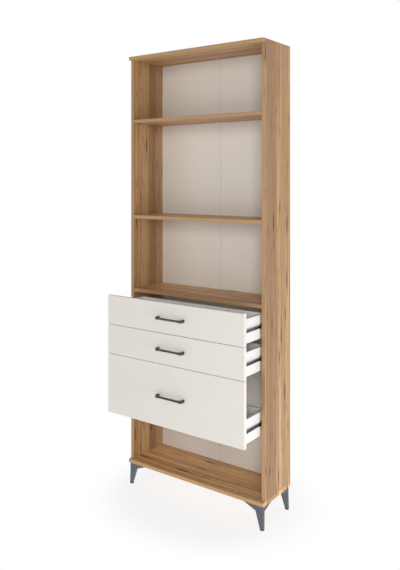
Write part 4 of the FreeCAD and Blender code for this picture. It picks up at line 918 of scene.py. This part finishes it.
@dataclass
class Fasteners:
    """Screws and nails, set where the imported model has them."""

    tree: NodeTree
    steel: Material
    seed: int = 7
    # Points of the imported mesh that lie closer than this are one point
    weld: float = 0.001
    # Head, its radius and height, the shank's radius, the length and the point's length
    kinds: dict[str, FastenerSize] = field(default_factory=lambda: {
        "carcass_screws": FastenerSize(Head.FLAT, 5.0, 2.5, 3.2, 50.0, 6.0),
        "leg_screws": FastenerSize(Head.PAN, 4.0, 2.2, 2.0, 17.2),
        "rail_screws": FastenerSize(Head.PAN, 3.0, 1.4, 1.6, 11.4, 3.0),
        "rear_screws": FastenerSize(Head.FLAT, 3.5, 2.0, 1.8, 35.0),
        "handle_screws": FastenerSize(Head.PAN, 4.0, 2.5, 2.0, 27.5, 0.5),
        "back_nails": FastenerSize(Head.NAIL, 2.0, 0.6, 0.8, 20.6, 2.0),
    })

    def seats(self, node: str) -> list[tuple[Vector, Vector]]:
        """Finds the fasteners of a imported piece.

        Args:
            node: The piece's name.

        Returns:
            For each one, the middle of its head's outer face and the direction to its tip.
        """
        loose = bmesh.new()
        loose.from_mesh(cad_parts[node].data)
        bmesh.ops.remove_doubles(loose, verts=loose.verts, dist=self.weld * MM)
        left = set(loose.verts)
        found = []
        while left:
            stack = [left.pop()]
            points = []
            while stack:
                vertex = stack.pop()
                points.append(vertex.co.copy())
                near = {edge.other_vert(vertex) for edge in vertex.link_edges} & left
                left -= near
                stack.extend(near)
            found.append(self.seat_of(points))
        loose.free()
        return sorted(found, key=lambda seat: tuple(round(c, 5) for c in seat[0]))

    @staticmethod
    def seat_of(points: list[Vector]) -> tuple[Vector, Vector]:
        """Reads one fastener's seat from its points.

        Args:
            points: The corners of its mesh.

        Returns:
            The middle of its head's outer face and the direction to its tip.
        """
        low = Vector(map(min, *points))
        high = Vector(map(max, *points))
        span = high - low
        axis = max(range(3), key=lambda i: span[i])
        middle = (low + high) / 2

        def width(end: float) -> float:
            """Gives how far the quarter of the fastener near that end reaches from its axis."""
            near = [p - middle for p in points if abs(p[axis] - end) < span[axis] / 4]
            return max(math.hypot(*(p[i] for i in range(3) if i != axis)) for p in near)

        head_low = width(low[axis]) > width(high[axis])
        seat = middle.copy()
        seat[axis] = low[axis] if head_low else high[axis]
        aim = Vector((0.0, 0.0, 0.0))
        aim[axis] = 1.0 if head_low else -1.0
        return seat, aim

    def set_in(self, node: str, body: str) -> None:
        """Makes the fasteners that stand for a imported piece.

        Args:
            node: The piece's name.
            body: The body it rides on.
        """
        kind = next(size for name, size in self.kinds.items() if node.endswith(name))
        seats = self.seats(node)
        mesh = bpy.data.meshes.new(node + "_seats")
        mesh.from_pydata([seat for seat, _ in seats], [], [])
        aims = mesh.attributes.new("aim", "FLOAT_VECTOR", "POINT")
        for place, (_, aim) in zip(aims.data, seats):
            place.vector = aim
        piece = put(node + "_turned", mesh)
        modifier = piece.modifiers.new("turned", "NODES")
        modifier.node_group = self.tree
        sockets = {item.name: item.identifier for item in self.tree.interface.items_tree}
        sizes = (*kind.rings(), kind.height, kind.shank, kind.length, kind.point, *kind.recess())
        for name, size in zip(FastenerTree.lengths, sizes):
            modifier[sockets[name]] = size * MM
        modifier[sockets["Has recess"]] = kind.head is not Head.NAIL
        modifier[sockets["Seed"]] = self.seed
        modifier[sockets["Finish"]] = self.steel
        depsgraph = bpy.context.evaluated_depsgraph_get()
        made = bpy.data.meshes.new_from_object(piece.evaluated_get(depsgraph))
        made.name = piece.name
        piece.modifiers.clear()
        piece.data = made
        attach(piece, body)
        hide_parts(node)
        LOG.info("%s: %d fasteners, %d faces", piece.name, len(seats), len(made.polygons))


@dataclass
class Carcass:
    """Boards, back, legs, fixed rails and fittings that stand still."""

    upright: tuple[str, ...] = ("left_side_panel", "right_side_panel")
    level: tuple[str, ...] = ("top_board", "bottom_board", "upper_shelf", "middle_shelf", "drawer_shelf")
    seeds: dict[str, float] = field(default_factory=lambda: {
        "left_side_panel": 10.0,
        "right_side_panel": 11.8,
        "top_board": 4.1,
        "bottom_board": 5.6,
        "upper_shelf": 6.2,
        "middle_shelf": 7.7,
        "drawer_shelf": 8.4,
    })
    # Painted shade darkens the left side panel, painted light lifts the bottom board and the drawer shelf
    painted_light_tones: dict[str, float] = field(default_factory=lambda: {
        "left_side_panel": 0.82,
        "bottom_board": 1.5,
        "drawer_shelf": 1.15,
    })
    legs: tuple[str, ...] = ("front_left_leg", "front_right_leg", "rear_left_leg", "rear_right_leg")
    fastened: tuple[str, ...] = ("leg_screws", "carcass_screws", "cabinet_rail_screws", "back_nails")

    def dress_boards(self) -> None:
        """Lays the oak decor on every board, each with its own stretch of the print and its own painted light
        and shade tone.
        """
        ends = tuple(self.seeds[node] for node in self.upright)
        for node in (*self.upright, *self.level):
            low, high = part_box(node)
            finish = OakDecor(
                f"oak_decor_melamine_{node}",
                grain=Axis.Z if node in self.upright else Axis.X,
                seed=self.seeds[node],
                tone=self.painted_light_tones.get(node, 1.0),
                end_seeds=ends,
                front=low.y / MM,
                crest=high.z / MM if node == "top_board" else None,
            )
            dress(finish.make(), node)

    def dress_back(self) -> None:
        """Lacquers the back panels and gives the joint strip its plastic."""
        dress(Hardboard("lacquered_hardboard_back").make(), "back_panel_left", "back_panel_right")
        strip = Moulding("extruded_pvc_strip", "#d8d4cc", "#dedbd4", Skin(0.37, 0.53, 0.04, 0.2))
        dress(strip.make(), "back_joint_strip")

    def dress_legs(self) -> None:
        """Gives the legs and their glides their plastics."""
        leg = Moulding("moulded_abs_leg", "#4f535c", "#61656e", Skin(0.38, 0.54, 0.12, 0.2))
        dress(leg.make(), *self.legs)
        glide = Moulding("black_polyethylene_glide", "#1c1c1e", "#2c2c2f", Skin(0.47, 0.63, 0.12, 0.2))
        dress(glide.make(), "foot_glides")

    def dress_fittings(self, slide: Material, cam: Material) -> None:
        """Gives the fixed rails and the fittings their metals and woods.

        Args:
            slide: The slides' steel.
            cam: The cams' zinc.
        """
        dress(slide, "left_cabinet_rails", "right_cabinet_rails")
        dress(cam, "shelf_cam_fittings")
        dress(Beech("turned_beech_dowel").make(), "carcass_dowels")
        pin = DrawnMetal("nickelled_steel_pin", "#b9b6b0", "#9a9791", across=3.0, along=6.0)
        dress(pin.make(), "shelf_pins")

    def fasten(self, fasteners: Fasteners) -> None:
        """Sets the carcass's screws and nails.

        Args:
            fasteners: The maker of screws.
        """
        for node in self.fastened:
            fasteners.set_in(node, "carcass")


@dataclass
class Drawer:
    """One drawer: front, box, handle, moving rails and ball cages."""

    name: str
    fastened: tuple[str, ...] = ("handle_screws", "rail_screws", "rear_screws")

    def node(self, part: str) -> str:
        """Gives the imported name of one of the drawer's pieces."""
        return f"{self.name}_{part}"

    def dress(self, finishes: dict[str, Material]) -> None:
        """Puts the finishes on the drawer's pieces.

        Args:
            finishes: A material for each kind of piece.
        """
        for part, finish in finishes.items():
            dress(finish, self.node(part))

    def fasten(self, fasteners: Fasteners) -> None:
        """Sets the drawer's screws.

        Args:
            fasteners: The maker of screws.
        """
        for part in self.fastened:
            fasteners.set_in(self.node(part), self.name)


@dataclass(frozen=True)
class Lamp:
    """A square soft lamp, with its place and size in metres and its power in watts."""

    name: str
    place: tuple[float, float, float]
    size: float
    power: float


@dataclass
class Studio:
    """Pale floor, white surroundings, soft lamps and the camera at the photograph's place.

    Lengths are metres, apart from those in the picture, which are pixels, and the sensor's in millimetres.
    """

    floor_half: float = 9.0
    floor_colour: str = "#f1edea"
    # How white the floor looks at the object, and where it begins and ends to fade to full white
    near_white: float = 0.84
    fade_start: float = 0.32
    fade_end: float = 0.56
    # How white the floor is for light that bounces off it: near the object, and at the sweep's far edge
    bounce_near: float = 1.0
    bounce_far: float = 0.35
    sweep_start: float = 1.0
    sweep_end: float = 4.0
    world_strength: float = 0.24
    camera_place: tuple[float, float, float] = (1.6385, -2.5967, 1.4303)
    camera_yaw: float = 39.30
    picture_width: float = 400.0
    picture_height: float = 570.0
    focal: float = 671.85
    centre_x: float = 123.15
    centre_y: float = 179.86
    sensor: float = 36.0
    # One main lamp from the front, and weaker ones that keep the insides, legs and rear from going dark
    lamps: tuple[Lamp, ...] = (
        Lamp("front_lamp", (3.30, -5.20, 2.40), 1.7, 130.0),
        Lamp("knee_lamp", (2.20, -3.50, 0.50), 0.8, 11.0),
        Lamp("right_lamp", (3.30, -1.00, 0.60), 1.6, 21.0),
        Lamp("left_lamp", (-1.60, -3.20, 1.20), 2.4, 13.0),
        Lamp("low_lamp", (1.60, -0.70, 0.20), 0.4, 4.0),
        Lamp("rear_lamp", (0.30, 1.60, 4.00), 1.6, 40.0),
    )

    def build(self) -> None:
        """Builds the whole studio."""
        self.build_floor()
        self.build_world()
        self.build_lamps()
        self.build_camera()
        bpy.context.scene.view_settings.view_transform = "Standard"

    def build_floor(self) -> None:
        """Makes the floor, which keeps the shadow near the object and fades to white further out."""
        half = self.floor_half
        mesh = bpy.data.meshes.new("studio_floor")
        corners = [(-half, -half, 0.0), (half, -half, 0.0), (half, half, 0.0), (-half, half, 0.0)]
        mesh.from_pydata(corners, [], [(0, 1, 2, 3)])
        floor = put("studio_floor", mesh)
        material = bpy.data.materials.new("studio_floor_paper")
        tree = emptied(material)
        place = add(tree, "ShaderNodeTexCoord").outputs["Object"]
        reach = add(tree, "ShaderNodeVectorMath", {0: place}, operation="LENGTH").outputs["Value"]
        far = {"From Min": self.fade_start, "From Max": self.fade_end, "To Min": self.near_white}
        far = add(tree, "ShaderNodeMapRange", {"Value": reach, **far}, **SMOOTH)
        bounce = {"From Min": self.sweep_start, "From Max": self.sweep_end}
        bounce.update({"To Min": self.bounce_near, "To Max": self.bounce_far})
        bounce = add(tree, "ShaderNodeMapRange", {"Value": reach, **bounce}, **SMOOTH)
        share = {0: self.seen_rays(tree), NUMBER_A: bounce, NUMBER_B: far}
        share = add(tree, "ShaderNodeMix", share, data_type="FLOAT")
        paper = add(tree, "ShaderNodeBsdfDiffuse", {"Color": linear(self.floor_colour)})
        white = add(tree, "ShaderNodeEmission", {"Strength": 1.0})
        mixed = add(tree, "ShaderNodeMixShader", {0: share, 1: paper, 2: white})
        add(tree, "ShaderNodeOutputMaterial", {"Surface": mixed})
        mesh.materials.append(material)
        floor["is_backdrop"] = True
        LOG.info("%s: pale floor", floor.name)

    @staticmethod
    def seen_rays(tree: NodeTree) -> Node:
        """Adds a mask of the rays that look at the background, straight or through a reflection.

        Args:
            tree: The node tree.

        Returns:
            The node, whose output is 1 for those rays.
        """
        path = add(tree, "ShaderNodeLightPath").outputs
        seen = {0: path["Is Camera Ray"], 1: path["Is Glossy Ray"]}
        seen = add(tree, "ShaderNodeMath", seen, operation="MAXIMUM")
        return add(tree, "ShaderNodeMath", {0: seen, 1: path["Is Transmission Ray"]}, operation="MAXIMUM")

    def build_world(self) -> None:
        """Makes the surroundings: white to look at, and a softer even light on the object."""
        world = bpy.data.worlds.new("studio_world")
        tree = emptied(world)
        pure = (1.0, 1.0, 1.0, 1.0)
        light = add(tree, "ShaderNodeBackground", {"Color": pure, "Strength": self.world_strength})
        white = add(tree, "ShaderNodeBackground", {"Color": pure, "Strength": 1.0})
        mixed = add(tree, "ShaderNodeMixShader", {0: self.seen_rays(tree), 1: light, 2: white})
        add(tree, "ShaderNodeOutputWorld", {"Surface": mixed})
        bpy.context.scene.world = world

    def build_lamps(self) -> None:
        """Makes the soft lamps, each turned to the middle of the object."""
        low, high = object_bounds()
        middle = (low + high) / 2
        for lamp in self.lamps:
            light = bpy.data.lights.new(lamp.name, "AREA")
            light.size = lamp.size
            light.energy = lamp.power
            holder = put(lamp.name, light)
            holder.location = lamp.place
            holder.rotation_euler = (middle - Vector(lamp.place)).to_track_quat("-Z", "Y").to_euler()
            LOG.info("%s: %.0f W", lamp.name, lamp.power)

    def build_camera(self) -> None:
        """Makes the level camera at the photograph's place, with the picture shifted as the photograph is."""
        camera = bpy.data.cameras.new("photo_camera")
        longer = max(self.picture_width, self.picture_height)
        camera.sensor_width = self.sensor
        camera.lens = self.focal * self.sensor / longer
        camera.shift_x = (self.picture_width / 2 - self.centre_x) / longer
        camera.shift_y = (self.centre_y - self.picture_height / 2) / longer
        holder = put("photo_camera", camera)
        holder.location = self.camera_place
        holder.rotation_euler = (math.pi / 2, 0.0, math.radians(self.camera_yaw))
        bpy.context.scene.camera = holder
        LOG.info("%s: %.1f mm lens", holder.name, camera.lens)


def drawer_finishes(slide: Material, cam: Material) -> dict[str, Material]:
    """Makes the finishes that the three drawers share.

    Args:
        slide: The slides' steel.
        cam: The cams' zinc.

    Returns:
        A material for each kind of piece.
    """
    # The paler white is a painted highlight on the edges of the box boards
    white, edge_highlight = "#f8f8f6", "#fafaf9"
    side = PlainMelamine("white_melamine_side", white, edge_highlight, Axis.X).make()
    enamel = Skin(0.34, 0.50, 0.10, 0.2)
    handle = Moulding("powder_coated_zinc_handle", "#262628", "#3a3a3d", enamel, cloud=20.0, grit=0.8)
    return {
        "front": PlainMelamine("cream_melamine_front").make(),
        "left_side": side,
        "right_side": side,
        "rear": PlainMelamine("white_melamine_rear", white, edge_highlight, Axis.Y).make(),
        "bottom": Hardboard("lacquered_hardboard_bottom", "#f0f0ec", Axis.Z, raw_sign=-1.0).make(),
        "handle": handle.make(),
        "rails": slide,
        "ball_cages": slide,
        "cam_fittings": cam,
    }


def main() -> None:
    """Builds the sub-assemblies in order."""
    logging.basicConfig(level=logging.INFO, format="%(name)s %(message)s")
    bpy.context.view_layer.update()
    Studio().build()
    # The slide steel's colours are darker than bright zinc plating: painted shade for the shadowed rail
    # channels
    slide = DrawnMetal("zinc_plated_slide_steel", "#85878a", "#4d4f52").make()
    steel = DrawnMetal("zinc_plated_screw_steel", "#b4b3ae", "#8e8d89", across=1.5, along=4.0).make()
    cast = Skin(0.55, 0.38, 0.10, 0.1)
    cam = DrawnMetal("die_cast_zinc_cam", "#aeaca7", "#8b8984", across=2.0, along=2.0, skin=cast).make()
    fasteners = Fasteners(FastenerTree().build(), steel)
    carcass = Carcass()
    carcass.dress_boards()
    carcass.dress_back()
    carcass.dress_legs()
    carcass.dress_fittings(slide, cam)
    carcass.fasten(fasteners)
    finishes = drawer_finishes(slide, cam)
    for name in ("upper_drawer", "middle_drawer", "lower_drawer"):
        drawer = Drawer(name)
        drawer.dress(finishes)
        drawer.fasten(fasteners)


if __name__ == "__main__":
    main()
